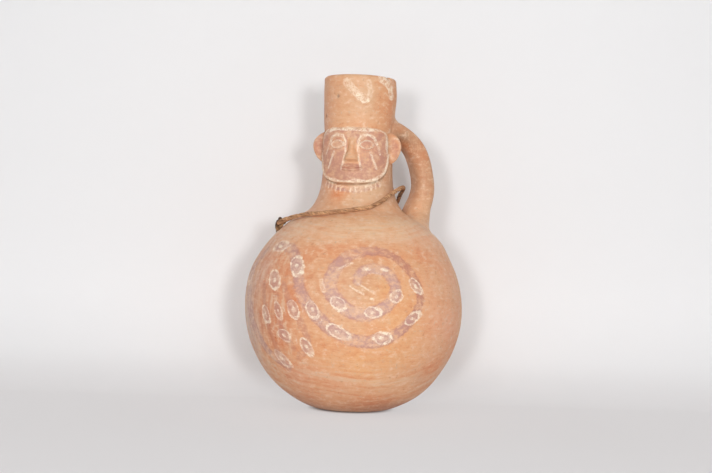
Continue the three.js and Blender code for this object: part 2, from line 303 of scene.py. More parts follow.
def cord_finish():
    """Twisted plant fibre, darkened by age: pale and dark fibres along the lay, painted shade between the
    plies, painted shadow by the handle.
    """
    look = Finish("old_plant_fibre")
    fibres = look.noise(look.place((2.6, 2.6, 0.35), look.mark("lay")), detail=4, roughness=0.7)
    patches = look.noise(look.place(), scale=140, detail=2)
    groove, gap_shadow, _ = look.split(look.mark("groove"))
    colour = look.mix(look.step(fibres, 0.34, 0.64), rgb(138, 94, 64), rgb(230, 180, 136))
    colour = look.mix(look.step(patches, 0.46, 0.66, 0.4), colour, rgb(136, 90, 62))
    # painted shadow on the stretch of cord in the gap between neck and handle
    colour = look.mix(look.times(gap_shadow, look.step(fibres, 0.70, 0.46, 0.9)), colour, rgb(66, 42, 32))
    # painted shade in the grooves between the plies
    colour = look.mix(look.step(groove, 0.20, 0.50, 0.85), colour, rgb(92, 58, 40))
    height = look.sum((fibres, 1.0), (groove, -0.8))
    return look.surface(colour, 0.85, height, 0.25, specular=0.2)


def cord_line():
    """Centre line of the cord from knot to knot, with a short straight tail into the knot at each end."""
    route = []
    for azimuth, z, clear in CORD_STATIONS:
        slope = clay_slope(z)
        off = (CORD_RADIUS + CORD_GAP + clear) / math.hypot(1, slope)
        reach = float(clay_radius(z) + off)
        turn = math.radians(azimuth)
        route.append((reach * math.cos(turn), reach * math.sin(turn), float(z - slope * off)))
    line = smooth_line(route, CORD_SPACING)
    ends = []
    for tip, inner in ((line[0], line[4]), (line[-1], line[-5])):
        away = (tip - inner) / np.linalg.norm(tip - inner)
        ends.append([tip + away * CORD_TAIL * share for share in (0.25, 0.5, 0.75, 1.0)])
    return np.vstack([ends[0][::-1], line, ends[1]])


def line_frame(line, across):
    """Tangent and two square directions at each point of a line, the first turned toward across."""
    along = unit(np.gradient(line, axis=0))
    out = unit(across - (across * along).sum(axis=1)[:, None] * along)
    return along, out, np.cross(along, out)


cord_path = cord_line()
cord_mesh = bmesh.new()
lay_layer = cord_mesh.verts.layers.float_vector.new("lay")
groove_layer = cord_mesh.verts.layers.float_vector.new("groove")
cord_run = np.r_[0, np.cumsum(np.linalg.norm(np.diff(cord_path, axis=0), axis=1))]
slack = 1 - smooth_share(*SLACK_RUN, np.minimum(cord_run, cord_run[-1] - cord_run))
pitch = PLY_PITCH[0] + (PLY_PITCH[1] - PLY_PITCH[0]) * slack
turned_so_far = np.r_[0, np.cumsum(np.diff(cord_run) / pitch[1:])] * math.tau
for ply in (0, 1):
    twist = turned_so_far + PLY_START + ply * math.pi
    _, out, side = line_frame(cord_path, cord_path * (1, 1, 0))
    arm = np.cos(twist)[:, None] * out + np.sin(twist)[:, None] * side
    strand = cord_path + PLY_OFFSET * arm
    _, strand_out, strand_side = line_frame(strand, arm)
    fat = 1 + PLY_UNEVEN * lumps(strand, 7, 11 + ply)

    def ply_place(along, around):
        ring = np.round(along * (len(strand) - 1)).astype(int)
        turn = around * math.tau
        across = PLY_HALF[0] * np.cos(turn)[:, None] * strand_out[ring]
        beside = PLY_HALF[1] * np.sin(turn)[:, None] * strand_side[ring]
        points = strand[ring] + fat[ring][:, None] * (across + beside)
        fibre_turn = turn - cord_run[ring] * FIBRE_TWIST
        marks = np.stack([np.cos(fibre_turn), np.sin(fibre_turn), cord_run[ring]], axis=1)
        return points, marks

    rolled(cord_mesh, len(strand) - 1, PLY_SIDES, ply_place, lay_layer)
cord_angle = np.degrees(np.unwrap(np.arctan2(cord_path[:, 1], cord_path[:, 0])))
# share of the painted shadow along the cord, most in the gap between neck and handle
shadow_share = np.exp(-(((cord_angle - SHADOWED_AZIMUTH) / SHADOWED_REACH) ** 2))
for vert in cord_mesh.verts:
    apart = np.linalg.norm(cord_path - np.array(vert.co), axis=1)
    nearest = int(apart.argmin())
    # each vertex carries how deep it lies between the plies, for painted shade there, and the painted
    # shadow's share
    vert[groove_layer] = (1 - min(1, apart[nearest] / (PLY_OFFSET + PLY_HALF[0])), shadow_share[nearest], 0)
close_up(cord_mesh)

old_cord = cord_finish()
cord = make_piece("neck_cord_twisted", cord_mesh, old_cord)
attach(cord, "cord")
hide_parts("neck_cord")


# Knot
# The two ends of the same cord, tied in one tight overhand knot that lies on the shoulder at the left. Its
# strands are pulled flat and dark, and narrow to two short frayed ends below.
KNOT_CENTRE = np.array((-51.7, 0.0, 123.6))
KNOT_SCALE = np.array((1.74, 1.06, 1.22))
KNOT_STRAND = 1.32
KNOT_LEAN = math.radians(40)
# heights between which the strands narrow toward the ends, by how much on each axis, and the shift outward
NARROWING = (0.5, -5.0)
NARROWER = np.array((0.35, 0.3, 0.0))
ENDS_SHIFT = 1.3
# side on which each cut end lies, its stray fibres and their radius
END_SIDES = (-1.3, 1.2)
TUFT_FIBRES = 11
FIBRE_RADIUS = 0.16


def knot_turned(points):
    """Leans points about the knot's centre as the knot leans on the shoulder and moves them there."""
    x, y, z = points.T
    cos, sin = math.cos(KNOT_LEAN), math.sin(KNOT_LEAN)
    return KNOT_CENTRE + np.stack([x * cos + z * sin, y, z * cos - x * sin], axis=1)


def overhand_line(t):
    """Middle of the strand of an overhand knot, for angles from 0 to one turn."""
    path = np.stack([-np.sin(3 * t), np.sin(t) + 2 * np.sin(2 * t), np.cos(t) - 2 * np.cos(2 * t)], axis=1)
    return path * KNOT_SCALE


def overhand_place(along, around):
    """Strand of the knot as points and fibre marks."""
    t = along * math.tau
    centre = overhand_line(t)
    tangent = unit(overhand_line(t + 1e-3) - centre)
    out = unit(np.cross(centre, tangent))
    side = np.cross(tangent, out)
    turn = around * math.tau
    points = centre + KNOT_STRAND * (np.cos(turn)[:, None] * out + np.sin(turn)[:, None] * side)
    low = smooth_share(*NARROWING, points[:, 2])
    points *= 1 - NARROWER * low[:, None]
    points[:, 0] += ENDS_SHIFT * low
    twisted = turn - t * 7
    return knot_turned(points), np.stack([np.cos(twisted), np.sin(twisted), t * 5], axis=1)


def tuft_place(start, lean_x, lean_y, length, radius):
    """A stray fibre that leaves the knot downward and curls away."""

    def place(along, around):
        droop = along**1.6
        centre = np.stack([lean_x * droop, lean_y * droop, -length * along], axis=1) + start
        turn = around * math.tau
        ring = radius * (1 - 0.75 * along)[:, None]
        points = centre + ring * np.stack([np.cos(turn), np.sin(turn), 0 * turn], axis=1)
        return knot_turned(points), np.stack([np.cos(turn), np.sin(turn), along * 6], axis=1)

    return place


knot_mesh = bmesh.new()
lay_layer = knot_mesh.verts.layers.float_vector.new("lay")
rolled(knot_mesh, 220, 18, overhand_place, lay_layer)
knot_rng = np.random.default_rng(21)
for end_y in END_SIDES:
    cut_end = tuft_place(np.array((1.0, end_y * 0.5, -3.2)), 1.2, end_y * 0.3, 2.0, 1.0)
    rolled(knot_mesh, 12, 12, cut_end, lay_layer)
    for _ in range(TUFT_FIBRES):
        offset = np.array((1.9, end_y * 0.6, -4.4)) + knot_rng.normal(0, 0.25, 3)
        lean = knot_rng.normal(0, 0.4, 2)
        lean_x, lean_y = lean[0] + 0.2, lean[1] + end_y * 0.4
        fibre = tuft_place(offset, lean_x, lean_y, knot_rng.uniform(0.8, 1.7), FIBRE_RADIUS)
        rolled(knot_mesh, 8, 6, fibre, lay_layer)
close_up(knot_mesh)


def knot_finish():
    """The cord's fibre in the knot, pressed together and nearly black with handling."""
    look = Finish("dark_knotted_fibre")
    fibres = look.noise(look.place((2.4, 2.4, 0.3), look.mark("lay")), detail=4, roughness=0.7)
    patches = look.noise(look.place(), scale=260, detail=2)
    x, _, z = look.split(look.whole())
    # the half of the knot that faces away from the shoulder is coloured darker
    outer = look.sum((x, -0.64), (z, 0.5), (1.0, -0.0949))
    colour = look.mix(look.step(fibres, 0.38, 0.64), rgb(84, 56, 38), rgb(206, 162, 116))
    colour = look.mix(look.step(patches, 0.44, 0.60, 0.6), colour, rgb(66, 44, 30))
    colour = look.mix(look.step(outer, -0.0010, 0.0014, 0.8), colour, rgb(58, 42, 36))
    return look.surface(colour, 0.8, fibres, 0.3, specular=0.25)


knot = make_piece("cord_knot_tied", knot_mesh, knot_finish())
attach(knot, "cord")
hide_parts("cord_knot")


# Lower bowl
# The lower half of the body, buff earthenware about 6 mm thick, formed by hand and burnished with a pebble
# while leather-hard. Its bottom is pressed flat, and the upper bowl is luted on at the widest place.
WALL = 6.0
BODY_STEPS = 500
ROW = 0.85
INSIDE_ROWS = 14
# rounding of the edge of the flat base
BASE_EDGE = 1.2
# shades of the fired clay
BUFF = rgb(220, 168, 128)
ORANGE = rgb(220, 142, 92)
RED = rgb(206, 122, 84)
PALE = rgb(230, 194, 158)
AMBER = rgb(228, 164, 102)
ROSE = rgb(218, 158, 130)
ASH = rgb(200, 168, 144)
UMBER = rgb(172, 120, 92)
# where a shade of the clay, or a painted light or shade, shows: degrees to the viewer's right of the front,
# height, reach across and up in mm, share
CLAY_AND_LIGHT_PATCHES = [
    (0, 121, 400, 12, PALE, 0.92),
    (-30, 124, 16, 8, ORANGE, 0.25),
    (24, 126, 18, 6, AMBER, 0.25),
    (0, 106, 44, 8, ORANGE, 0.62),
    (34, 103, 20, 6, ORANGE, 0.4),
    # painted shade: the middle of the body darker, against the stronger light there
    (4, 82, 24, 26, rgb(190, 152, 124), 0.55),
    (-45, 66, 26, 34, RED, 0.6),
    (-60, 92, 24, 22, ROSE, 0.6),
    # partly painted light: the left flank lighter, as if more light reached it, and greyer clay
    (-74, 66, 18, 44, rgb(206, 182, 168), 0.85),
    (20, 72, 26, 24, AMBER, 0.45),
    (8, 36, 44, 18, AMBER, 0.45),
    (0, 20, 80, 12, PALE, 0.35),
    (-30, 22, 24, 14, ROSE, 0.6),
    # painted light: the right flank lighter, as if more light reached it
    (60, 74, 28, 44, rgb(234, 176, 144), 0.7),
    (45, 100, 22, 12, ORANGE, 0.25),
    (44, 22, 26, 12, ASH, 0.3),
    (22, 10, 18, 7, ORANGE, 0.35),
    (60, 32, 10, 6, ORANGE, 0.4),
    # darker towards the bottom, all round
    (0, 4, 400, 7, UMBER, 0.4),
    (110, 70, 40, 30, AMBER, 0.5),
    (150, 100, 44, 20, ORANGE, 0.5),
    (190, 60, 40, 34, ROSE, 0.5),
    (-120, 80, 40, 30, AMBER, 0.45),
    (-150, 40, 44, 22, RED, 0.45),
    (0, 148, 40, 12, rgb(208, 184, 154), 0.4),
    (-28, 146, 10, 9, ORANGE, 0.5),
    (-75, 170, 14, 60, ROSE, 0.5),
    # painted shade: the middle of the collar darker, against the stronger light there
    (4, 206, 11, 20, rgb(204, 174, 142), 0.55),
    (60, 195, 14, 40, ORANGE, 0.45),
    (112, 165, 24, 34, rgb(186, 148, 120), 0.6),
    (-90, 176, 8, 12, UMBER, 0.35),
    # painted shadow, with some dirt, in the gap between the right ear and the handle's root
    (90, 172, 5, 13, rgb(100, 74, 56), 0.8),
    (101, 176, 4, 12, ORANGE, 0.35),
    (75, 40, 26, 26, ORANGE, 0.3),
]
# the painted serpent: degrees to the right of the front, height, half width of the band, share of red brown
SERPENT = [
    (-54, 109, 3.2, 0.1),
    (-40, 106, 3.8, 0.2),
    (-32, 93, 4.0, 0.1),
    (-27, 79, 4.2, 0.1),
    (-20, 68, 4.2, 0.1),
    (-12, 59, 4.4, 0.1),
    (-1, 52, 4.4, 0.1),
    (10, 50.5, 4.4, 0.1),
    (21, 55, 4.0, 0.2),
    (30, 65, 3.4, 0.4),
    (35.5, 76, 3.0, 0.6),
    (34.5, 88, 3.0, 0.7),
    (29, 98, 3.0, 0.7),
    (21, 105.5, 3.0, 0.6),
    (9, 107.5, 3.4, 0.4),
    (-3, 104, 4.0, 0.3),
    (-10.5, 95, 4.6, 0.1),
    (-12.5, 84, 4.8, 0.0),
    (-6.5, 74, 4.6, 0.0),
    (2, 68, 4.4, 0.0),
    (12, 70, 4.3, 0.0),
    (19.5, 77, 4.2, 0.0),
    (21.5, 86, 4.0, 0.0),
    (17, 94.5, 3.8, 0.0),
    (8, 96.5, 3.6, 0.0),
    (2.5, 92.5, 3.2, 0.0),
    (1.5, 88, 2.4, 0.0),
]
# strength and stations of the bands of the second serpent, on the left flank
FLANK_BANDS = [
    (0.9, [
        (-68, 105, 3.4, 0.1), (-75, 92, 5.0, 0.0), (-71, 77, 5.2, 0.0),
        (-65, 60, 4.2, 0.0), (-55, 43, 3.6, 0.1), (-40, 31, 2.8, 0.3),
    ]),
    (0.6, [
        (-39, 84, 2.0, 0.5), (-31, 69, 2.6, 0.5), (-25, 57, 2.4, 0.7),
        (-24, 46, 3.0, 0.4), (-30, 38, 2.0, 0.8),
    ]),
    (0.55, [
        (-47, 90, 2.4, 0.4), (-43, 77, 2.4, 0.8), (-40, 64, 2.6, 0.7),
        (-37, 52, 2.8, 0.6), (-32, 44, 1.8, 0.8),
    ]),
    (0.55, [(-54, 82, 2.0, 0.8), (-50, 65, 2.4, 0.7), (-46, 50, 2.0, 0.9), (-42, 37, 3.0, 0.3)]),
]
# ringed ovals: degrees to the right, height, half length, half breadth, tilt in degrees, strength
SERPENT_OVALS = [
    (-53, 108.5, 8.2, 4.6, 2, 0.75),
    (-33.3, 96.5, 8.1, 5.5, -60, 1.0),
    (-20.4, 69.5, 6.5, 4.1, -62, 0.75),
    (-7.2, 56.3, 8.8, 4.0, -27, 0.9),
    (14.6, 53.4, 6.6, 4.3, -5, 1.0),
    (30.7, 65.8, 6.9, 3.7, 32, 0.85),
    (33.5, 86.1, 6.4, 3.7, -50, 0.85),
    (-7.4, 74.1, 6.5, 3.9, -40, 0.8),
    (9.7, 69.3, 5.9, 3.7, -2, 0.85),
    (21.8, 79.3, 5.2, 4.2, 33, 0.75),
]
FLANK_OVALS = [
    (-76.0, 90.0, 8.0, 5.6, -75, 0.5),
    (-46.2, 86.9, 7.6, 5.2, -52, 0.85),
    (-49.8, 64.5, 7.3, 3.9, -62, 0.75),
    (-40.4, 67.8, 6.8, 3.2, -62, 0.65),
    (-31.2, 69.3, 7.1, 4.2, -60, 0.8),
    (-37.4, 52.4, 6.3, 3.9, -26, 0.8),
    (-24.3, 45.5, 7.1, 3.8, -64, 0.8),
    (-42.1, 36.8, 8.2, 4.0, -44, 0.8),
]
# loose cream touches of the brush: half width, strength and a line of degrees to the right and height
SERPENT_DABS = [
    (0.8, 0.8, [(-9, 95.1), (-5, 97.6), (-1, 99.6)]),
    (1.1, 0.9, [(5, 96), (8, 96.2)]),
    (1.1, 0.9, [(15, 96.2), (17.5, 95.6)]),
    (0.9, 0.9, [(8.5, 77.7), (9.8, 77.5)]),
    (0.7, 0.8, [(-2, 85), (1.5, 82.5), (5, 80.4)]),
    (0.7, 0.7, [(2, 86.9), (7, 83.5), (11, 80.8)]),
    (0.6, 0.6, [(8, 93.4), (11, 93.9), (14, 92.9)]),
    (1.6, 0.5, [(-17, 88), (-15.5, 82)]),
]
FLANK_DABS = [(0.5, 0.9, [(-30.4, 106.4), (-29.8, 104.6)])]
# the main serpent is painted three times round the body
COPY_TURNS = (0, -118, 150)
SERPENT_STRENGTH = 0.95
# how far an oval's marks reach, as a share of its size and in mm
OVAL_REACH = 1.65
OVAL_LIMIT = 16
# nearness that a painted mark carries on the edge of its stroke
NEAR = 2.0
# where the potter's hands left the form fuller: degrees to the right, height, reach across and up, amount
SWELLS = [
    (60, 11, 42, 12, 2.1),
    (-84, 93, 34, 17, 1.3),
    (84, 115, 26, 9, 1.7),
    (84, 211, 40, 10, 0.9),
]
# heights between which body passes into neck, and the wall's unevenness, more on the body than on the neck
BODY_END = (120, 134)
NECK_UNEVEN = 0.10
BODY_UNEVEN = 0.22
FACET_DEPTH = 0.045
# the rim dips by this much, tilts and waves
RIM_ZONE = (200, 223)
RIM_DIP = 0.9
RIM_TILT = 0.014
RIM_WAVE = 0.25
SHADE_BREAKUP = 0.45
# slips: purple-brown wash, chalky where worn, darker at a thick rim, redder in some strokes, and cream
WASH = rgb(192, 150, 140)
WASH_CHALK = rgb(226, 200, 182)
WASH_RIM = rgb(182, 120, 108)
WASH_RED = rgb(184, 114, 88)
CREAM = rgb(250, 234, 210)


def on_body(azimuth, z):
    """Places on the outside of the body, from degrees to the viewer's right of the front and height."""
    radius, turn = clay_radius(z), np.radians(azimuth)
    height = np.broadcast_to(z, np.shape(turn))
    return np.stack([radius * np.sin(turn), -radius * np.cos(turn), height], axis=-1)


def front_angle(points):
    """Degrees to the viewer's right of the front."""
    return np.degrees(np.arctan2(points[:, 0], -points[:, 1]))


def hand_made(points):
    """Moves points of a turned form as hands leave them: broad swells, small facets and an uneven rim."""
    x, y, z = points.T
    body = 1 - smooth_share(*BODY_END, z)
    swell = lumps(points, 42, 3) * (NECK_UNEVEN + BODY_UNEVEN * body)
    for azimuth, height, wide, up, amount in SWELLS:
        swell += amount * np.exp(-(((front_angle(points) - azimuth) / wide) ** 2) - ((z - height) / up) ** 2)
    facets = lumps(points, 8, 5) * FACET_DEPTH
    radius = np.maximum(np.hypot(x, y), 1e-6)
    grow = 1 + (swell + facets) * smooth_share(0, 12, radius) / radius
    rim = smooth_share(*RIM_ZONE, z)
    sag = rim * (-RIM_TILT * x + RIM_WAVE * lumps(points * (1, 1, 0), 26, 9) - RIM_DIP)
    return np.stack([x * grow, y * grow, z + sag], axis=1)


def turned(profile, steps):
    """Turns a profile of radius and height about the upright axis and unrounds it by hand."""
    outline = np.array([*profile, profile[0]] if profile[0][0] > 0 else profile)

    def place(along, around):
        radius, z = outline[np.round(along * (len(outline) - 1)).astype(int)].T
        turn = around * math.tau
        return hand_made(np.stack([radius * np.sin(turn), radius * np.cos(turn), z], axis=1)), None

    bm = bmesh.new()
    rolled(bm, len(outline) - 1, steps, place)
    bmesh.ops.recalc_face_normals(bm, faces=bm.faces)
    return bm


def arc_rows(points, spacing):
    """The same outline with rows at an even spacing."""
    points = np.asarray(points, float)
    run = np.r_[0, np.cumsum(np.linalg.norm(np.diff(points, axis=0), axis=1))]
    even = np.linspace(0, run[-1], max(2, int(round(run[-1] / spacing)) + 1))
    return np.stack([np.interp(even, run, column) for column in points.T], axis=1)


def distance_to(points, line):
    """Shortest distance from each point to a line of straight pieces."""
    nearest = np.full(len(points), 1e9)
    for start, end in zip(line, line[1:]):
        step = end - start
        share = np.clip((points - start) @ step / (step @ step), 0, 1)
        nearest = np.minimum(nearest, np.linalg.norm(points - start - share[:, None] * step, axis=1))
    return nearest


def places(piece):
    """Places of a piece's vertices in millimetres."""
    flat = np.zeros(len(piece.data.vertices) * 3)
    piece.data.vertices.foreach_get("co", flat)
    return flat.reshape(-1, 3) / MM


def set_mark(piece, name, values):
    """Gives each vertex of a piece three numbers that its material reads, in place of any it had."""
    if name in piece.data.attributes:
        piece.data.attributes.remove(piece.data.attributes[name])
    layer = piece.data.attributes.new(name, "FLOAT_VECTOR", "POINT")
    layer.data.foreach_set("vector", np.asarray(values, np.float32).ravel())


def tint(points):
    """Large patches of fired colour and of painted light and shade, from the list of patches, broken up a
    little.
    """
    colour = np.tile(BUFF[:3], (len(points), 1))
    angle, z = front_angle(points), points[:, 2]
    radius = np.hypot(points[:, 0], points[:, 1])
    breakup = 1 + SHADE_BREAKUP * lumps(points, 16, 31)
    for azimuth, height, across, up, shade, share in CLAY_AND_LIGHT_PATCHES:
        away = np.radians((angle - azimuth + 180) % 360 - 180) * radius
        weight = share * np.exp(-((away / across) ** 2) - ((z - height) / up) ** 2)
        weight = np.clip(weight * breakup, 0, 1)[:, None]
        colour = colour * (1 - weight) + np.array(shade[:3]) * weight
    return colour


def lay_over(found, nearness, strength, red):
    """Puts one more stroke where it covers more than those found. Nearness is 2 at a stroke's edge."""
    nearness = np.clip(nearness, 0, 6)
    stroke = np.stack([nearness, np.full(len(found), strength), np.full(len(found), red)], axis=1)
    old, new = (m[:, 1] * smooth_share(NEAR - 1, NEAR + 1, m[:, 0]) + 1e-3 * m[:, 0] for m in (found, stroke))
    found[new > old] = stroke[new > old]


def painted(points, strokes):
    """Nearness, strength and redness of the stroke that covers each point most."""
    found = np.zeros((len(points), 3))
    for line, half_width, strength, red in strokes:
        lay_over(found, NEAR + half_width - distance_to(points, line), strength, red)
    return found


def band_strokes(stations, turn, strength):
    """Short straight strokes along one painted band, each with its own width and redness."""
    stations = np.array(stations, float)
    line = on_body(stations[:, 0] + turn, stations[:, 1])
    fine = smooth_line(np.hstack([line, stations[:, 2:]]), 3.0)
    for a, b in zip(fine, fine[1:]):
        yield np.stack([a[:3], b[:3]]), (a[3] + b[3]) / 2, strength, (a[4] + b[4]) / 2


def oval_marks(points, ovals):
    """Place within the nearest ringed oval, as shares of its half length and breadth, and its strength."""
    found = np.zeros((len(points), 3))
    best = np.full(len(points), OVAL_REACH)
    for azimuth, z, half_length, half_breadth, tilt, strength in ovals:
        centre = on_body(azimuth, z)
        turn = math.radians(azimuth)
        across = np.array((math.cos(turn), math.sin(turn), 0))
        above = on_body(azimuth, z + 0.5) - on_body(azimuth, z - 0.5)
        above = above / np.linalg.norm(above)
        lean = math.radians(tilt)
        u = (points - centre) @ (across * math.cos(lean) + above * math.sin(lean)) / half_length
        v = (points - centre) @ (above * math.cos(lean) - across * math.sin(lean)) / half_breadth
        apart = np.hypot(u, v)
        nearer = (apart < best) & (np.linalg.norm(points - centre, axis=1) < OVAL_LIMIT)
        best[nearer] = apart[nearer]
        fading = strength * smooth_share(OVAL_REACH - 0.05, OVAL_REACH - 0.25, apart)
        found[nearer] = np.stack([u, v, fading], axis=1)[nearer]
    return found


def dress_body(piece):
    """Gives a bowl its fired colours with some painted light and shade, and the painted serpents on its
    outside only.
    """
    points = places(piece)
    set_mark(piece, "tint", tint(points))
    outside = np.hypot(points[:, 0], points[:, 1]) > clay_radius(points[:, 2]) - 1.5
    skin = points[outside]
    bands, dabs, ovals = [], [], list(FLANK_OVALS)
    for strength, stations in FLANK_BANDS:
        bands += band_strokes(stations, 0, strength)
    for turn in COPY_TURNS:
        bands += band_strokes(SERPENT, turn, SERPENT_STRENGTH)
        ovals += [(oval[0] + turn, *oval[1:]) for oval in SERPENT_OVALS]
        dabs += [(turn, dab) for dab in SERPENT_DABS]
    dabs += [(0, dab) for dab in FLANK_DABS]
    strokes = []
    for turn, (half_width, strength, line) in dabs:
        line = np.array(line, float)
        strokes.append((on_body(line[:, 0] + turn, line[:, 1]), half_width, strength, 0))
    for name, values in (
        ("wash", painted(skin, bands)),
        ("cream", painted(skin, strokes)),
        ("oval", oval_marks(skin, ovals)),
    ):
        marks = np.zeros_like(points)
        marks[outside] = values
        set_mark(piece, name, marks)


def slip_cover(look, name, ragged, amount, blur):
    """How much of a brushed slip covers a place, ragged at its edges, its redness, and its thick dark rim."""
    nearness, strength, red = look.split(look.mark(name))
    edge = look.sum(nearness, (ragged, amount), (-1.0, amount / 2))
    rim = look.step(edge, NEAR + 1.7, NEAR + 0.4)
    return look.times(look.step(edge, NEAR - blur, NEAR + blur), strength), red, rim


def ring_cover(look, place, broken):
    """Cover of the cream rings with their dots, and of the wash inside, unsteady as a brush leaves them."""
    u, v, strength = look.split(look.mark("oval"))
    wander = look.add("TexNoise", {"Vector": place, "Scale": 170, "Detail": 2}, "Color")
    spot = look.add("CombineXYZ", {0: look.sum(u, (-1.0, 0.28)), 1: look.sum(v, (-1.0, 0.28))})
    spot = look.add("VectorMath", {0: wander, 1: (0.56, 0.56, 0), 2: spot}, operation="MULTIPLY_ADD")
    apart = look.add("VectorMath", {0: spot}, "Value", operation="LENGTH")
    off_line = look.add("Math", {0: look.sum(apart, (-1.0, 0.86))}, operation="ABSOLUTE")
    width = look.sum((u, 0.06), (broken, 0.70), (1.0, -0.19))
    line = look.step(look.sum(width, (off_line, -1.0)), -0.06, 0.12)
    dot = look.step(look.sum(apart, (broken, -0.4)), 0.12, -0.04)
    ring = look.add("Math", {0: line, 1: dot}, operation="MAXIMUM")
    inside = look.times(look.step(apart, 1.05, 0.75), look.times(strength, 0.55))
    return look.times(ring, strength), inside


def clay_finish(name, streaks, bump_mm, roughness, ovals=True, strokes_run=(55, 55, 430)):
    """Burnished buff clay with mineral bloom and specks, worn purple-brown wash and worn cream slip."""
    look = Finish(name)
    whole = look.whole()
    sway = look.noise(look.place((22, 22, 22)), detail=1)
    lift = look.add("CombineXYZ", {2: look.times(sway, 0.009)})
    place = look.add("VectorMath", {0: whole, 1: lift}, operation="ADD")
    strokes = look.noise(look.place(strokes_run, place), detail=4, roughness=0.65)
    hairs = look.noise(look.place([2.6 * run for run in strokes_run], place), detail=3, roughness=0.6)
    cloud = look.noise(look.place((60, 60, 75)), detail=5, roughness=0.62)
    mottle = look.noise(look.place((210, 210, 330)), detail=6, roughness=0.72)
    grain = look.noise(whole, scale=1000, detail=2, roughness=0.7)
    specks = look.noise(whole, scale=430, detail=2, roughness=0.6)
    chips = look.noise(whole, scale=300, detail=4, roughness=0.7)

    colour = look.mark("tint")
    colour = look.mix(look.step(cloud, 0.42, 0.66, 0.6), colour, (0.98, 0.84, 0.76, 1), "MULTIPLY")
    colour = look.mix(look.step(mottle, 0.50, 0.69, 0.68), colour, rgb(232, 198, 168))
    colour = look.mix(look.step(mottle, 0.48, 0.33, 0.68), colour, (0.90, 0.73, 0.63, 1), "MULTIPLY")
    colour = look.mix(look.step(strokes, 0.50, 0.70, streaks), colour, (0.93, 0.78, 0.69, 1), "MULTIPLY")
    colour = look.mix(look.step(hairs, 0.52, 0.72, streaks * 0.6), colour, rgb(238, 200, 164))
    if ovals:
        x, _, z = look.split(whole)
        flank = look.step(x, -0.022, -0.050)
        shoulder = look.step(z, 0.104, 0.120, 0.75)
        low = look.sum(look.step(z, 0.052, 0.016), shoulder)
        rubbed = look.noise(look.place((250, 250, 34)), detail=4, roughness=0.65)
        bent = look.sum((look.times(x, x), -4.0), (sway, 0.009))
        bent = look.add("VectorMath", {0: whole, 1: look.add("CombineXYZ", {2: bent})}, operation="ADD")
        curved = look.noise(look.place((24, 24, 400), bent), detail=4, roughness=0.65)
        for share, stroke in ((flank, rubbed), (low, curved)):
            dark, light = look.step(stroke, 0.50, 0.63, 0.7), look.step(stroke, 0.48, 0.36, 0.6)
            colour = look.mix(look.times(share, dark), colour, (0.94, 0.73, 0.62, 1), "MULTIPLY")
            colour = look.mix(look.times(share, light), colour, rgb(222, 190, 160))
    dust = look.sum((grain, 0.5), (chips, 0.5))
    colour = look.mix(look.step(dust, 0.54, 0.66, 0.45), colour, rgb(196, 180, 160))
    colour = look.mix(look.step(specks, 0.66, 0.73, 0.5), colour, (0.68, 0.56, 0.48, 1), "MULTIPLY")

    wash_cover, red, rim = slip_cover(look, "wash", chips, 5.0, 0.7)
    worn = look.step(look.sum((mottle, 0.5), (chips, 0.5)), 0.60, 0.43)
    faded = look.step(look.sum((cloud, 0.6), (mottle, 0.4)), 0.62, 0.42)
    chalky = look.step(look.sum((cloud, 0.3), (mottle, 0.4), (chips, 0.3)), 0.45, 0.58, 0.8)
    wash = look.mix(look.times(rim, 0.55), look.mix(chalky, WASH, WASH_CHALK), WASH_RIM)
    wash = look.mix(red, wash, WASH_RED)
    colour = look.mix(look.times(wash_cover, look.sum((worn, 0.55), (faded, 0.4), (1.0, 0.08))), colour, wash)
    cream_cover, _, _ = slip_cover(look, "cream", chips, 2.8, 0.5)
    if ovals:
        ring, inside = ring_cover(look, whole, mottle)
        colour = look.mix(inside, colour, look.mix(chalky, WASH, WASH_CHALK))
        cream_cover = look.add("Math", {0: cream_cover, 1: ring}, operation="MAXIMUM")
    left = look.step(look.sum((chips, 0.6), (grain, 0.4)), 0.58, 0.43)
    cover = look.times(cream_cover, look.sum((left, 0.82), (1.0, 0.12)))
    colour = look.mix(cover, colour, CREAM)

    relief = ((strokes, 0.4), (hairs, 0.25), (grain, 0.3), (mottle, 0.5), (specks, -0.35), (cover, 0.5))
    matt = look.sum((mottle, 0.14), (cover, 0.12), (wash_cover, 0.1), (1.0, roughness))
    return look.surface(colour, matt, look.sum(*relief), bump_mm)


def bowl_outline(z_from, z_to):
    """Outside of the body between two heights, as radius and height, with the ends in finer steps."""
    z = z_from + (z_to - z_from) * (1 - np.cos(np.linspace(0, math.pi, 400))) / 2
    return np.stack([clay_radius(z, FOOT_FILLET), z], axis=1)


outside_angles = np.linspace(0, math.pi / 2, 500)
base_radius = BODY_RADIUS * np.sin(outside_angles)
base_height = EQUATOR - LOWER_DEPTH * np.cos(outside_angles)
base_height = (base_height + np.sqrt(base_height**2 + BASE_EDGE**2)) / 2
base_height = (base_height - base_height[0]) * EQUATOR / (EQUATOR - base_height[0])
lower_outside = arc_rows(np.stack([base_radius, base_height], axis=1), ROW)
inside_angles = np.linspace(0, math.pi / 2, INSIDE_ROWS)
lower_inside = np.stack(
    [(BODY_RADIUS - WALL) * np.cos(inside_angles), EQUATOR - (EQUATOR - WALL) * np.sin(inside_angles)], axis=1
)
lower_inside[-1, 0] = 0
body_clay = clay_finish("burnished_painted_clay", 0.42, 0.16, 0.46)
lower_bowl = make_piece("body_lower", turned([*lower_outside, *lower_inside], BODY_STEPS), body_clay)
dress_body(lower_bowl)
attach(lower_bowl, "vessel")
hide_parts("lower_bowl")


# Upper bowl
# The upper half of the body, with a round hole for the neck. It is luted to the lower bowl and burnished
# over the joint, so that no line shows there, and carries most of the painted serpents.
BORE_RADIUS = 18.5
# edge of the neck's smeared foot, and how the shoulder runs on beneath it
FOOT_RADIUS = 36.0
FOOT_LAP = 1.5
FOOT_SINK = 0.3


def bowl_height(radius):
    """Height of the shoulder at a radius."""
    return EQUATOR + UPPER_HEIGHT * np.sqrt(1 - (np.asarray(radius) / BODY_RADIUS) ** 2)


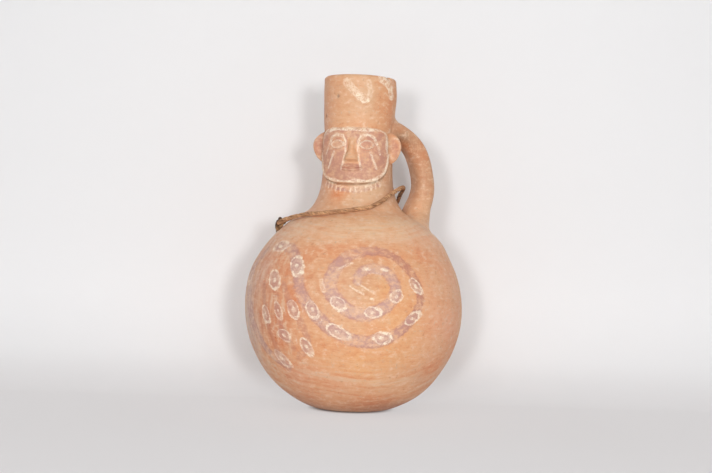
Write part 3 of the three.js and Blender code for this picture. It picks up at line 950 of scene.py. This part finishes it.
foot_height = float(bowl_height(FOOT_RADIUS))
upper_outside = arc_rows(bowl_outline(EQUATOR, foot_height), ROW)
under_neck = np.linspace(FOOT_RADIUS - FOOT_LAP, BORE_RADIUS, 8)
under_neck = np.stack([under_neck, bowl_height(under_neck) - FOOT_SINK], axis=1)
inside_radius = BODY_RADIUS - WALL
inside_angles = np.linspace(math.acos(BORE_RADIUS / inside_radius), 0, INSIDE_ROWS)
upper_inside = np.stack(
    [inside_radius * np.cos(inside_angles), EQUATOR + (UPPER_HEIGHT - WALL) * np.sin(inside_angles)], axis=1
)
upper_profile = [*upper_outside, *under_neck, *upper_inside]
upper_bowl = make_piece("body_upper", turned(upper_profile, BODY_STEPS), body_clay)
dress_body(upper_bowl)
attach(upper_bowl, "vessel")
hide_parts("upper_bowl")


# Neck
# A short flared tube of the same clay. Its foot is smeared out to a feather edge on the shoulder, and its top
# meets the head. Under the chin it has a faint painted necklace.
NECK_TOP = 150.4
NECK_STEPS = 360
NECK_ROW = 0.5
BORE_ROW = 1.2
MOUTH_RADIUS = 19.1
# the face panel: direction, thickness, middle, reach to each side, up and down, and the outline's powers
FACE_AZIMUTH = -10.0
PLAQUE = 2.1
FACE_RADIUS = TUBE_RADIUS + PLAQUE
FACE_MIDDLE = 172.0
PLAQUE_HALF_WIDTH = 29.5
PLAQUE_UP = 16.5
PLAQUE_DOWN = 21.0
UPPER_POWER = 5
LOWER_POWER = 2.6
# painted lines of head, neck and collar: half width, strength, and places as mm right of the nose and height
CREAM_LINES = [
    (1.0, 0.9, [(4.4, 179), (6, 182.5), (10.5, 183.6), (15, 181.6), (17.2, 177.5)]),
    (0.8, 0.85, [(4.4, 179), (4.2, 173), (5.0, 167), (6.5, 160.5)]),
    (0.8, 0.8, [(12.5, 172.0), (14.2, 167), (17.0, 161.5)]),
    (0.8, 0.7, [(18.2, 176), (19.5, 171)]),
]
COLLAR_LINES = [
    (2.8, 0.5, [(-5.5, 218.5), (0, 213), (4.5, 208.8)]),
    (1.8, 0.9, [(3, 209.6), (7, 206.0), (10, 206.6)]),
    (2.0, 0.4, [(10.4, 218.6), (11.6, 213.3), (11.0, 209.2), (9.6, 206.4)]),
    (2.9, 0.8, [(20, 221.2), (24.6, 219.2), (28.2, 216), (30.2, 210.5)]),
    (1.8, 0.6, [(27.5, 221), (31.5, 217)]),
]
# old chips: degrees to the right of the front, height, size and depth
CHIPS = [(52, 222.4, 1.5, 0.9), (-37, 209.1, 1.1, 0.6), (-68, 196.6, 1.1, 0.5), (120, 222.4, 1.4, 0.6)]
# how much darker the clay is round each chip, and the depth of the painted shadow in the crease under the
# chin
CHIP_DARKENING = 0.55
CHIN_CREASE_SHADOW = 0.45
# cream border of the face panel: its place, half width and unsteadiness
BORDER_SHARE = 0.93
BORDER_WIDTH = 1.35
BORDER_WAVER = 0.75
PANEL_SLOPE = 20
# the painted necklace: mauve squares with cream ticks between them and a cream line above
BEADS = 12
BEAD_STEP = 3.5
NECKLACE_HEIGHT = 146.6
NECKLACE_CURVE = 9.5


def head_place(points):
    """Millimetres to the right of the nose, round the head, and height."""
    round_head = np.radians((front_angle(points) - FACE_AZIMUTH + 180) % 360 - 180) * FACE_RADIUS
    return np.stack([round_head, points[:, 2]], axis=1)


def panel_share(place):
    """0 at the middle of the face panel and 1 on its outline."""
    s, z = np.abs(place[:, 0]) / PLAQUE_HALF_WIDTH, place[:, 1] - FACE_MIDDLE
    upper = (s**UPPER_POWER + np.abs(z / PLAQUE_UP) ** UPPER_POWER) ** (1 / UPPER_POWER)
    lower = (s**LOWER_POWER + np.abs(z / PLAQUE_DOWN) ** LOWER_POWER) ** (1 / LOWER_POWER)
    return np.where(z > 0, upper, lower)


def dress_head(piece, bare=None):
    """Gives a head piece its fired colours, painted light and shade, darker chips, the face panel, cream
    lines and necklace.
    """
    points = places(piece)
    place = head_place(points)
    panel = panel_share(place)
    # painted shadow in the crease under the lower edge of the face panel, then darker clay round each chip
    crease = CHIN_CREASE_SHADOW * np.exp(-(((panel - 1.02) / 0.03) ** 2)) * (place[:, 1] < FACE_MIDDLE - 6)
    for azimuth, z, size, _ in CHIPS:
        across = np.radians(azimuth - FACE_AZIMUTH) * FACE_RADIUS
        near = (place[:, 0] - across) ** 2 + (place[:, 1] - z) ** 2
        crease = np.maximum(crease, CHIP_DARKENING * np.exp(-near / size**2))
    set_mark(piece, "tint", tint(points) * (1 - crease)[:, None])
    brush = BORDER_WIDTH + BORDER_WAVER * lumps(np.stack([*place.T, 0 * panel], axis=1), 7, 71)
    cream = []
    for half_width, strength, line in CREAM_LINES:
        for side in (-1, 1):
            cream.append((np.array(line, float) * (side, 1), half_width, strength, 0))
    cream += [(np.array(line, float), half_width, strength, 0) for half_width, strength, line in COLLAR_LINES]
    wash = []
    for i in range(BEADS):
        s = (i - (BEADS - 1) / 2) * BEAD_STEP
        z = NECKLACE_HEIGHT + (s / NECKLACE_CURVE) ** 2
        kept = 0.62 + 0.25 * math.sin(i * 2.3)
        wash.append((np.array([(s - 0.3, z), (s + 0.3, z)]), 1.35, 0.6 + kept * 0.4, 0.2))
        for side in (-0.5, 0.5):
            edge = s + side * BEAD_STEP
            cream.append((np.array([(edge, z - 0.9), (edge, z + 1.5)]), 0.75, kept, 0))
        cream.append((np.array([(s - 1.3, z + 2.0), (s + 1.3, z + 2.0)]), 0.7, kept * 0.8, 0))
    cream_marks = painted(place, cream)
    lay_over(cream_marks, NEAR + brush - np.abs(panel - BORDER_SHARE) * PANEL_SLOPE, 0.9, 0)
    wash_marks = painted(place, wash)
    lay_over(wash_marks, NEAR + (BORDER_SHARE - 0.01 - panel) * PANEL_SLOPE, 0.78, 0.45)
    if bare is not None:
        wash_marks[:, 1] *= 1 - bare(place)
    outside = np.hypot(points[:, 0], points[:, 1]) > MOUTH_RADIUS + 2
    for mark, values in (("wash", wash_marks), ("cream", cream_marks)):
        values[:, 1] *= outside
        set_mark(piece, mark, values)


neck_outside = arc_rows(bowl_outline(NECK_TOP, foot_height), NECK_ROW)
neck_under = np.linspace(FOOT_RADIUS, BORE_RADIUS, 12)[1:]
neck_under = np.stack([neck_under, bowl_height(neck_under)], axis=1)
neck_bore = arc_rows([(BORE_RADIUS, neck_under[-1][1]), (BORE_RADIUS, NECK_TOP)], BORE_ROW)[1:]
neck_profile = [*neck_outside, *neck_under, *neck_bore]
neck_clay = clay_finish("smoothed_neck_clay", 0.25, 0.14, 0.50, ovals=False)
neck = make_piece("neck_flared", turned(neck_profile, NECK_STEPS), neck_clay)
dress_head(neck)
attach(neck, "vessel")
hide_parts("neck_tube")


# Head tube
# The tube of the head, of the same clay as the neck, luted on its top and open down to the body. It carries
# the face, the ears and the upper root of the handle.
COLLAR_BLEND = (184.0, 194.0)


def head_radius(z):
    """Outside of head and collar, where the step between them is smoothed away."""
    z = np.asarray(z, float)
    rise = (COLLAR_FOOT_RADIUS - TUBE_RADIUS) * smooth_share(*COLLAR_BLEND, z)
    swell = COLLAR_SWELL * np.clip((z - HEAD_TOP) / COLLAR_SWELL_HEIGHT, 0, 1)
    return TUBE_RADIUS + FLARE * np.exp((FLARE_HEIGHT - z) / FLARE_LENGTH) + rise + swell


head_z = np.linspace(NECK_TOP, HEAD_TOP, 81)
head_outside = np.stack([head_radius(head_z), head_z], axis=1)
head_bore = arc_rows([(BORE_RADIUS, HEAD_TOP), (BORE_RADIUS, NECK_TOP)], BORE_ROW)
head = make_piece("head_tube_plain", turned([*head_outside, *head_bore], NECK_STEPS), neck_clay)
dress_head(head)
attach(head, "vessel")
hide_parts("head_tube")


# Collar
# A plain round collar of the same clay, luted on the head as the figure's hat and the bottle's spout. Its
# rim is rounded by hand and a little uneven, and cream slip is smeared on its front.
RIM = 224.5
RIM_RADIUS = 24.2
LIP = 2.4
# height below which the mouth narrows to the bore
THROAT = 208


def arc(centre_r, centre_z, start, end, radius, steps):
    """Arc of a profile, angles in degrees."""
    turn = np.radians(np.linspace(start, end, steps))
    return np.stack([centre_r + radius * np.cos(turn), centre_z + radius * np.sin(turn)], axis=1)


collar_z = np.linspace(HEAD_TOP, RIM - LIP, 65)
collar_wall = np.stack([head_radius(collar_z), collar_z], axis=1)
collar_wall[:, 0] -= head_radius(RIM - LIP) - RIM_RADIUS
collar_wall[:, 0] += (head_radius(RIM - LIP) - RIM_RADIUS) * smooth_share(RIM - LIP, HEAD_TOP, collar_z)
collar_lip = [
    *arc(RIM_RADIUS - LIP, RIM - LIP, 0, 90, LIP, 11)[1:],
    *arc(MOUTH_RADIUS + LIP, RIM - LIP, 90, 180, LIP, 11),
]
collar_bore = arc_rows([(MOUTH_RADIUS, RIM - LIP), (BORE_RADIUS, THROAT), (BORE_RADIUS, HEAD_TOP)], 0.8)[1:]
collar_mesh = turned([*collar_wall, *collar_lip, *collar_bore], NECK_STEPS)
for vert in collar_mesh.verts:
    turn = math.degrees(math.atan2(vert.co.x, -vert.co.y))
    for azimuth, z, size, depth in CHIPS:
        across = math.radians((turn - azimuth + 180) % 360 - 180) * RIM_RADIUS
        nick = depth * math.exp(-((across / size) ** 2) - ((vert.co.z - z) / size) ** 2)
        vert.co.x *= 1 - nick / RIM_RADIUS
        vert.co.y *= 1 - nick / RIM_RADIUS
        if z > RIM - 2 * LIP:
            vert.co.z -= nick * 0.7
collar_clay = clay_finish("slipped_collar_clay", 0.22, 0.15, 0.50, ovals=False)
collar = make_piece("collar_spout", collar_mesh, collar_clay)
dress_head(collar)
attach(collar, "vessel")
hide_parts("spout_collar")


# Face
# A thin plaque of clay pressed on the head, with brows, eye sockets, cheeks and chin in low relief. Its edge
# is smoothed into the head at the top and sides and stands proud under the chin.
FACE_COLUMNS = 190
FACE_ROWS = 150
PLAQUE_SINK = 0.9
FEATHER = 0.35
# brows, sockets, cheeks, round of the mouth and chin: relief, mm to each side, height, reach across and up
FACE_RELIEF = [
    (1.0, 8.5, 182.5, 8, 2.4),
    (-0.8, 10, 177, 6, 3.4),
    (0.9, 14, 169, 6.5, 6),
    (0.8, 0, 161.5, 10, 5),
    (1.5, 0, 154.8, 6.5, 3.6),
]
# the nose, left bare: its heights, half width at the bridge and what the wings add
NOSE_TOP = 181.5
NOSE_BASE = 165.0
NOSE_BRIDGE = 2.6
NOSE_WINGS = 2.8


def bump(s, z, s0, z0, ws, wz):
    """A rounded swelling about a place."""
    return np.exp(-(((s - s0) / ws) ** 2) - ((z - z0) / wz) ** 2)


def face_radius(s, z):
    """Outside of the modelled face: brows, sockets, cheeks, lips and chin on the tube of the head."""
    relief = 0.07 * lumps(np.stack([s, z, 0 * s], axis=1), 5, 41)
    for amount, side, height, across, up in FACE_RELIEF:
        relief += amount * bump(np.abs(s), z, side, height, across, up)
    return head_radius(z) + PLAQUE + relief


def on_head(s, z, radius):
    """Point at a radius, from millimetres to the right of the nose and height."""
    turn = np.radians(FACE_AZIMUTH) + s / FACE_RADIUS
    return np.stack([radius * np.sin(turn), -radius * np.cos(turn), z], axis=1)


def patch(columns, rows, place):
    """A closed plate made of a grid: place gives front and back points for shares from -1 to 1."""
    bm = bmesh.new()
    verts = bmesh.ops.create_grid(bm, x_segments=columns, y_segments=rows, size=1)["verts"]
    flat = np.array([v.co for v in verts])
    front, back = place(flat[:, 0], flat[:, 1])
    made = bmesh.ops.duplicate(bm, geom=list(bm.faces))
    twins = made["vert_map"]
    front, back = hand_made(front), hand_made(back)
    for i, vert in enumerate(verts):
        vert.co = front[i]
        twins[vert].co = back[i]
    rims = [e for e in bm.edges if e.is_boundary]
    bmesh.ops.bridge_loops(bm, edges=rims)
    bmesh.ops.remove_doubles(bm, verts=bm.verts, dist=1e-4)
    bmesh.ops.recalc_face_normals(bm, faces=bm.faces)
    return bm


def plaque_place(u, v):
    """The face plaque: squares of the grid become rings inside the panel's outline."""
    share = np.maximum(np.abs(u), np.abs(v))
    turn = np.arctan2(v, u)
    power = np.where(v > 0, UPPER_POWER, LOWER_POWER)
    height = np.where(v > 0, PLAQUE_UP, PLAQUE_DOWN)
    reach = np.abs(np.cos(turn) / PLAQUE_HALF_WIDTH) ** power + np.abs(np.sin(turn) / height) ** power
    reach = reach ** (-1 / power)
    spread = np.sin(share * math.pi / 2) ** 0.9
    s = reach * spread * np.cos(turn)
    z = FACE_MIDDLE + reach * spread * np.sin(turn)
    edge = np.where(v > 0, 0.16, 0.055)
    soft = np.clip((1 - spread) / edge, 0, 1)
    full = np.sqrt(1 - (1 - soft) ** 2)
    tube = head_radius(z)
    front = tube - FEATHER + (face_radius(s, z) - tube + FEATHER) * full
    return on_head(s, z, front), on_head(s, z, tube - PLAQUE_SINK)


def nose_half(low):
    """Half width of the nose, from its top at 0 to its base at 1."""
    return NOSE_BRIDGE + NOSE_WINGS * smooth_share(0.35, 0.9, low)


def nose_bare(place):
    """1 on the nose, which is left in bare clay."""
    low = (NOSE_TOP - place[:, 1]) / (NOSE_TOP - NOSE_BASE)
    half = nose_half(low)
    inside = smooth_share(half + 0.8, half - 0.2, np.abs(place[:, 0]))
    return inside * smooth_share(-0.05, 0.05, low) * smooth_share(1.08, 1.0, low)


face_clay = clay_finish("matt_painted_face_clay", 0.15, 0.14, 0.58, ovals=False)
face = make_piece("face_relief", patch(FACE_COLUMNS, FACE_ROWS, plaque_place), face_clay)
dress_head(face, nose_bare)
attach(face, "vessel")
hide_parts("face_plaque")


# Nose
# A strip of clay pinched on the face and smoothed at its edges: a narrow bridge that widens to the wings.
# It is left unpainted, so the orange clay shows.
NOSE_RISE = 3.9
# how deep applied clay sits in the face at its edge
APPLIED_SINK = 0.06


def nose_place(u, v):
    """Front and back of the nose; u runs across it and v down it."""
    low = (v + 1) / 2
    z = NOSE_TOP + (NOSE_BASE - NOSE_TOP) * low
    s = u * nose_half(low)
    rise = 1.1 * smooth_share(0, 0.15, low) + NOSE_RISE * low**1.25
    rise = rise * (1 - smooth_share(0.84, 1.0, low))
    wings = 1.0 * np.exp(-(((np.abs(u) - 0.66) / 0.22) ** 2) - ((low - 0.84) / 0.1) ** 2)
    height = rise * (1 - u**2) ** 1.25 + wings * (1 - u**2)
    face_out = face_radius(s, z)
    return on_head(s, z, face_out - APPLIED_SINK + height), on_head(s, z, face_out - 1.6)


nose = make_piece("nose_pinched", patch(48, 72, nose_place), face_clay)
dress_head(nose, nose_bare)
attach(nose, "vessel")
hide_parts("nose")


# Eyes
# Two almond pellets of clay pressed into the sockets, each with a raised lid line drawn round it with a
# tool. The lids are touched with cream slip.
EYE_SIDE = 10.0
EYE_HEIGHT = 177.0
EYE_HALF_LENGTH = 5.6
EYE_HALF_HEIGHT = 3.2
LID_SHARE = 0.80
eye_clay = clay_finish("cream_touched_eye_clay", 0.1, 0.12, 0.58, ovals=False)


def eye_place(side):
    """Placing function of the eye on one side of the nose."""

    def place(u, v):
        s = side * EYE_SIDE + u * EYE_HALF_LENGTH
        half = EYE_HALF_HEIGHT * (1 - np.abs(u) ** 2.4) ** 0.85
        z = EYE_HEIGHT + v * half
        across = np.sqrt(u**2 * 0.9 + v**2 * (1 - u**2))
        across = np.clip(across, 0, 1)
        ball = 1.5 * np.sqrt(1 - across**2)
        lid = 0.55 * np.exp(-(((across - LID_SHARE) / 0.11) ** 2))
        height = (ball + lid) * smooth_share(1.0, 0.9, across)
        face_out = face_radius(s, z)
        return on_head(s, z, face_out - APPLIED_SINK + height), on_head(s, z, face_out - 1.4)

    return place


for name, side in (("left_eye", -1), ("right_eye", 1)):
    eye = make_piece(name + "_pellet", patch(44, 32, eye_place(side)), eye_clay)
    dress_head(eye)
    spot = head_place(places(eye)) - (side * EYE_SIDE, EYE_HEIGHT)
    ring = np.hypot(spot[:, 0] / EYE_HALF_LENGTH, spot[:, 1] / EYE_HALF_HEIGHT)
    set_mark(eye, "cream", np.stack([NEAR + (ring - 0.66) * 3, 0.9 + 0 * ring, 0 * ring], axis=1))
    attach(eye, "vessel")
    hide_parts(name)


# Mouth
# One pellet of clay pressed on below the nose and parted with a tool, so that it makes two closed lips.
# The purple-brown wash of the panel is brushed over it.
MOUTH_HEIGHT = 161.5
MOUTH_HALF_WIDTH = 7.6
MOUTH_HALF_HEIGHT = 2.9


def mouth_place(u, v):
    """Front and back of the two lips."""
    s = u * MOUTH_HALF_WIDTH
    half = MOUTH_HALF_HEIGHT * (1 - u**2) ** 0.6
    z = MOUTH_HEIGHT + v * half + 0.25 * u**2
    lips = 1.25 * np.exp(-(((np.abs(v + 0.04) - 0.46) / 0.30) ** 2))
    parting = 0.35 * np.exp(-((v / 0.12) ** 2))
    height = (lips + 0.35 - parting) * (1 - v**2) ** 0.5 * (1 - u**4) ** 0.8
    face_out = face_radius(s, z)
    return on_head(s, z, face_out - APPLIED_SINK + height), on_head(s, z, face_out - 1.4)


mouth = make_piece("mouth_lips", patch(56, 36, mouth_place), face_clay)
dress_head(mouth)
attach(mouth, "vessel")
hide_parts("mouth")


# Ears
# Half-round lugs of clay luted to the sides of the head, each with a hollow pressed in its front by a
# fingertip. Their roots are smoothed into the head.
EAR_SPREAD = 80.0
EAR_CENTRE = (21.0, 176.0)
EAR_HALF = (9.2, 3.2, 10.8)
EAR_ROOT = 2.2
# middle of the hollow from the axis, and its half width and height
HOLLOW_RADIUS = 26.6
HOLLOW_HALF = (3.4, 6.4)
# wash in the hollow and cream round it: inner and outer edge as shares, and strength
EAR_MARKS = (("wash", 0.0, 0.85, 0.6), ("cream", 0.95, 1.25, 0.35))


def swung(points, turn):
    """Points turned about the upright axis."""
    x, y, z = points.T
    cos, sin = math.cos(turn), math.sin(turn)
    return np.stack([x * cos - y * sin, x * sin + y * cos, z], axis=1)


def ear_mesh(side):
    """A squeezed ball, hollowed in front, its root spread where it meets the head."""
    bm = bmesh.new()
    bmesh.ops.create_uvsphere(bm, u_segments=96, v_segments=64, radius=1)
    ball = np.array([v.co for v in bm.verts])
    x, y, z = ball.T
    front = -side
    hollow = 1.7 * bump(x, z, 0.60, 0.05, 0.26, 0.42) * (y * front > 0)
    rim_out = EAR_HALF[0] * x * (1 + 0.05 * np.sin(3 * z + 0.6))
    points = np.stack([EAR_CENTRE[0] + rim_out, EAR_HALF[1] * y, EAR_CENTRE[1] + EAR_HALF[2] * z], axis=1)
    points[:, 1] -= hollow * front
    points += 0.12 * unit(ball) * lumps(points, 5, 50 + side)[:, None]
    clear = np.hypot(points[:, 0], points[:, 1]) - TUBE_RADIUS
    near = np.clip(clear / EAR_ROOT, 0, 1)
    points[:, 1] += np.sign(y) * EAR_ROOT * (1 - np.sqrt(1 - (1 - near) ** 2)) * (clear < EAR_ROOT)
    points = hand_made(swung(points, math.radians(FACE_AZIMUTH + side * EAR_SPREAD) - math.pi / 2))
    for vert, point in zip(bm.verts, points):
        vert.co = point
    bmesh.ops.recalc_face_normals(bm, faces=bm.faces)
    return bm


for name, side in (("left_ear", -1), ("right_ear", 1)):
    ear = make_piece(name + "_lug", ear_mesh(side), face_clay)
    dress_head(ear)
    at = places(ear)
    out, up = np.hypot(at[:, 0], at[:, 1]) - HOLLOW_RADIUS, at[:, 2] - EAR_CENTRE[1]
    spot = np.hypot(out / HOLLOW_HALF[0], up / HOLLOW_HALF[1])
    for mark, inner, outer, strength in EAR_MARKS:
        nearness = NEAR + 3 * np.minimum(spot - inner, outer - spot)
        set_mark(ear, mark, np.stack([nearness, strength + 0 * spot, 0.3 + 0 * spot], axis=1))
    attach(ear, "vessel")
    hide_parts(name)


# Handle
# One thick rolled strap of clay from the back right of the head to the shoulder. Both roots are pressed on
# and smoothed out over head, collar and shoulder.
HANDLE_AZIMUTH = 112.0
# distance from the axis, height, half thickness and half width along the middle of the strap
HANDLE_STATIONS = [
    (20.0, 188.6, 8.6, 12.0),
    (27.5, 187.4, 7.0, 10.6),
    (35.1, 183.4, 6.5, 10.0),
    (41.3, 177.0, 6.7, 10.0),
    (45.5, 168.8, 6.9, 9.8),
    (48.3, 158.4, 7.0, 9.6),
    (48.9, 150.5, 7.1, 9.6),
    (47.6, 143.5, 7.4, 10.0),
    (45.5, 137.5, 7.9, 11.0),
    (43.4, 129.0, 8.7, 13.0),
    (42.3, 114.0, 8.7, 14.0),
]
STRAP_POWER = 2.6
STRAP_ROWS = 220
STRAP_SIDES = 72
# height above which the strap stands on the head
HEAD_ABOVE = 160
# the roots' fillet, less of it where the cord passes the foot and more where the foot is smeared to the front
HANDLE_ROOT = 5.0
CORD_ROOM = 2.6
FRONT_SPREAD = 9.5
HANDLE_SINK = 0.5

strap_line = smooth_line(np.array(HANDLE_STATIONS), 0.5)


def strap_point(share, turn):
    """Point on the plain strap before its roots are spread, with its outward direction."""
    at = share * (len(strap_line) - 1)
    rows = np.arange(len(strap_line))
    radius, height, half_thickness, half_width = (np.interp(at, rows, column) for column in strap_line.T)
    slope = np.gradient(strap_line[:, :2], axis=0)
    along = unit(np.stack([np.interp(at, rows, column) for column in slope.T], axis=1))
    cos, sin = np.cos(turn), np.sin(turn)
    thick = half_thickness * np.sign(cos) * np.abs(cos) ** (2 / STRAP_POWER)
    wide = half_width * np.sign(sin) * np.abs(sin) ** (2 / STRAP_POWER)
    points = np.stack([radius - along[:, 1] * thick, wide, height + along[:, 0] * thick], axis=1)
    out = unit(np.stack([-along[:, 1] * thick, wide, along[:, 0] * thick], axis=1))
    return points, out


def clearance(points):
    """Distance from the outside of the vessel, about."""
    radius, z = np.hypot(points[:, 0], points[:, 1]), points[:, 2]
    outside = np.where(z > HEAD_ABOVE, head_radius(z), clay_radius(z, FOOT_FILLET))
    return (radius - outside) / np.hypot(1, clay_slope(z, FOOT_FILLET))


def lifted(points, height):
    """Moves points square to the vessel until they stand at a height over its outside."""
    for _ in range(4):
        radius, z = np.hypot(points[:, 0], points[:, 1]), points[:, 2]
        head_slope = (head_radius(z + SLOPE_PROBE) - head_radius(z - SLOPE_PROBE)) / (2 * SLOPE_PROBE)
        slope = np.where(z > HEAD_ABOVE, head_slope, clay_slope(z, FOOT_FILLET))
        normal = unit(np.stack([points[:, 0] / radius, points[:, 1] / radius, -slope], axis=1))
        points = points - normal * (clearance(points) - height)[:, None]
    return points


def strap_hits(turn):
    """Shares along the strap at which each of its lines leaves the head and enters the shoulder."""
    found = []
    for inner, outer in ((0.0, 0.45), (1.0, 0.55)):
        low, high = np.full(len(turn), inner), np.full(len(turn), outer)
        for _ in range(26):
            middle = (low + high) / 2
            inside = clearance(strap_point(middle, turn)[0]) < 0
            low, high = np.where(inside, middle, low), np.where(inside, high, middle)
        found.append((low + high) / 2)
    return found


def strap_place(along, around):
    """The strap with its roots spread in a round fillet where they meet head and shoulder."""
    turn = around * math.tau
    first, last = strap_hits(turn)
    eased = along - np.sin(along * math.tau) / math.tau * 0.85
    share = first + (last - first) * eased
    points, out = strap_point(share, turn)
    clear = clearance(points)
    outward, backward = np.cos(turn), np.sin(turn)
    smeared = smooth_share(0.1, -0.8, backward) * smooth_share(-1.0, -0.3, outward)
    smeared = smeared * smooth_share(0.75, -0.25, outward)
    inner = smooth_share(0.2, -0.4, outward)
    root = HANDLE_ROOT + (FRONT_SPREAD * smeared - CORD_ROOM * inner) * smooth_share(0.4, 0.6, along)
    near = np.clip(clear / root, 0, 1)
    spread = points + out * (root * (1 - np.sqrt(1 - (1 - near) ** 2)))[:, None]
    ends = (along < 1e-6) | (along > 1 - 1e-6)
    spread = lifted(spread, np.where(ends, -HANDLE_SINK, clear))
    points = np.where(near[:, None] < 1, spread, points)
    points += out * (0.15 * lumps(points, 12, 61) * near)[:, None]
    return hand_made(swung(points, math.radians(HANDLE_AZIMUTH - 90))), None


handle_mesh = bmesh.new()
rolled(handle_mesh, STRAP_ROWS, STRAP_SIDES, strap_place)
close_up(handle_mesh)
handle_clay = clay_finish("rubbed_handle_clay", 0.42, 0.16, 0.46, ovals=False, strokes_run=(330, 330, 50))
handle = make_piece("handle_strap_luted", handle_mesh, handle_clay)
dress_head(handle)
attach(handle, "vessel")
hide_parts("handle_strap")


# Stage
# A seamless pale sheet that runs from the floor in front up the wall close behind the bottle. Two small soft
# lamps stand beside the camera, and two broad ones hang higher, one over the camera and one over the bottle.
WALL_BEHIND = 0.108
SWEEP_RADIUS = 0.075
SWEEP_HALF_WIDTH = 1.6
FLOOR_FRONT = -0.8
WALL_TOP = 1.8
SWEEP_STEPS = 32
FLOOR_DROP = 0.0002
PAPER_DARK = (0.86, 0.855, 0.86, 1)
PAPER_LIGHT = (0.88, 0.875, 0.88, 1)
# share of plain paper colour that the camera, gloss and glass see low on the sheet, a painted glow that
# lightens
# the floor: more near the bottle, where it lightens the bottle's shadow, in metres from the middle of its
# base, and none under it
GLOW = (0.71, 0.685, 0.685, 1)
GLOW_TOP = 0.03
GLOW_SHARE = 0.6
GLOW_MORE = 0.2
GLOW_MORE_WITHIN = (0.17, 0.05)
GLOW_OUTSIDE = (0.021, 0.031)
# strength of the world as light, and as the background that the camera, gloss and glass see
SKY_LIGHT = 0.17
SKY_SEEN = 0.85
REFLECTED_RAYS = ("Is Glossy Ray", "Is Transmission Ray")

sweep = [(FLOOR_FRONT, 0.0)]
for i in range(SWEEP_STEPS + 1):
    turn = i / SWEEP_STEPS * math.pi / 2
    back = WALL_BEHIND - SWEEP_RADIUS + SWEEP_RADIUS * math.sin(turn)
    sweep.append((back, SWEEP_RADIUS * (1 - math.cos(turn))))
sweep.append((WALL_BEHIND, WALL_TOP))
stage_mesh = bmesh.new()
line = [stage_mesh.verts.new((-SWEEP_HALF_WIDTH, y, z - FLOOR_DROP)) for y, z in sweep]
edges = [stage_mesh.edges.new(pair) for pair in zip(line, line[1:])]
pulled = bmesh.ops.extrude_edge_only(stage_mesh, edges=edges)["geom"]
pulled = [g for g in pulled if isinstance(g, bmesh.types.BMVert)]
bmesh.ops.translate(stage_mesh, vec=(2 * SWEEP_HALF_WIDTH, 0, 0), verts=pulled)
stage_data = bpy.data.meshes.new("paper_sweep")
stage_mesh.to_mesh(stage_data)
stage_mesh.free()
stage_data.shade_smooth()

paper = Finish("pale_paper")
paper_tone = paper.noise(paper.place((3, 3, 3)), detail=2)
paper_colour = paper.mix(paper_tone, PAPER_DARK, PAPER_LIGHT)
paper_grain = paper.noise(paper.place((400, 400, 400)), detail=2)
paper.surface(paper_colour, 0.9, paper_grain, 0.02, specular=0.1)
ray = paper.add("LightPath", {}, "Is Camera Ray")
for kind in REFLECTED_RAYS:
    ray = paper.sum(ray, paper.add("LightPath", {}, kind))
_, _, paper_height = paper.split(paper.whole())
away = paper.add("VectorMath", {0: paper.whole()}, "Value", operation="LENGTH")
glow_share = paper.sum(paper.step(away, *GLOW_MORE_WITHIN, GLOW_MORE), (1.0, GLOW_SHARE))
glow_share = paper.times(glow_share, paper.step(paper_height, GLOW_TOP, 0.0))
glow_share = paper.times(paper.times(ray, glow_share), paper.step(away, *GLOW_OUTSIDE))
glow = paper.add("Emission", {"Color": GLOW, "Strength": 1.0})
blend = paper.add("MixShader", {0: glow_share, 1: paper.shader.outputs[0], 2: glow})
behind = paper.times(paper.add("LightPath", {}, "Is Camera Ray"), paper.add("NewGeometry", {}, "Backfacing"))
blend = paper.add("MixShader", {0: behind, 1: blend, 2: paper.add("BsdfTransparent", {})})
paper.put(paper.tree.nodes["Material Output"].inputs["Surface"], blend)
stage_data.materials.append(paper.material)
backdrop = bpy.data.objects.new("paper_sweep", stage_data)
scene.collection.objects.link(backdrop)

# name, place, size and watts
LAMPS = [
    ("left", (-0.20, -1.25, 0.18), 0.14, 3.7),
    ("right", (0.20, -1.25, 0.18), 0.14, 4.8),
    ("front", (0.0, -1.10, 0.62), 1.00, 2.8),
    ("above", (0.0, -0.60, 1.05), 1.00, 2.0),
]
AIM = (0, 0, 0.12)
for name, place, size, watts in LAMPS:
    lamp_data = bpy.data.lights.new("lamp_" + name, "AREA")
    lamp_data.shape = "DISK"
    lamp_data.size = size
    lamp_data.energy = watts
    lamp = bpy.data.objects.new("lamp_" + name, lamp_data)
    lamp.location = place
    toward = [a - b for a, b in zip(AIM, place)]
    flat = math.hypot(toward[0], toward[1])
    lamp.rotation_euler = (math.pi / 2 + math.atan2(toward[2], flat), 0, math.atan2(-toward[0], toward[1]))
    lamp.visible_camera = False
    scene.collection.objects.link(lamp)

world = bpy.data.worlds.new("studio")
world.use_nodes = True
sky = world.node_tree.nodes["Background"]
sky.inputs["Color"].default_value = (1, 1, 1, 1)
ray_kind = world.node_tree.nodes.new("ShaderNodeLightPath")
seen = world.node_tree.nodes.new("ShaderNodeMapRange")
seen.inputs["To Min"].default_value = SKY_LIGHT
seen.inputs["To Max"].default_value = SKY_SEEN
ray_sum = ray_kind.outputs["Is Camera Ray"]
for kind in REFLECTED_RAYS:
    either = world.node_tree.nodes.new("ShaderNodeMath")
    either.operation = "MAXIMUM"
    world.node_tree.links.new(ray_sum, either.inputs[0])
    world.node_tree.links.new(ray_kind.outputs[kind], either.inputs[1])
    ray_sum = either.outputs[0]
world.node_tree.links.new(ray_sum, seen.inputs["Value"])
world.node_tree.links.new(seen.outputs[0], sky.inputs["Strength"])
scene.world = world
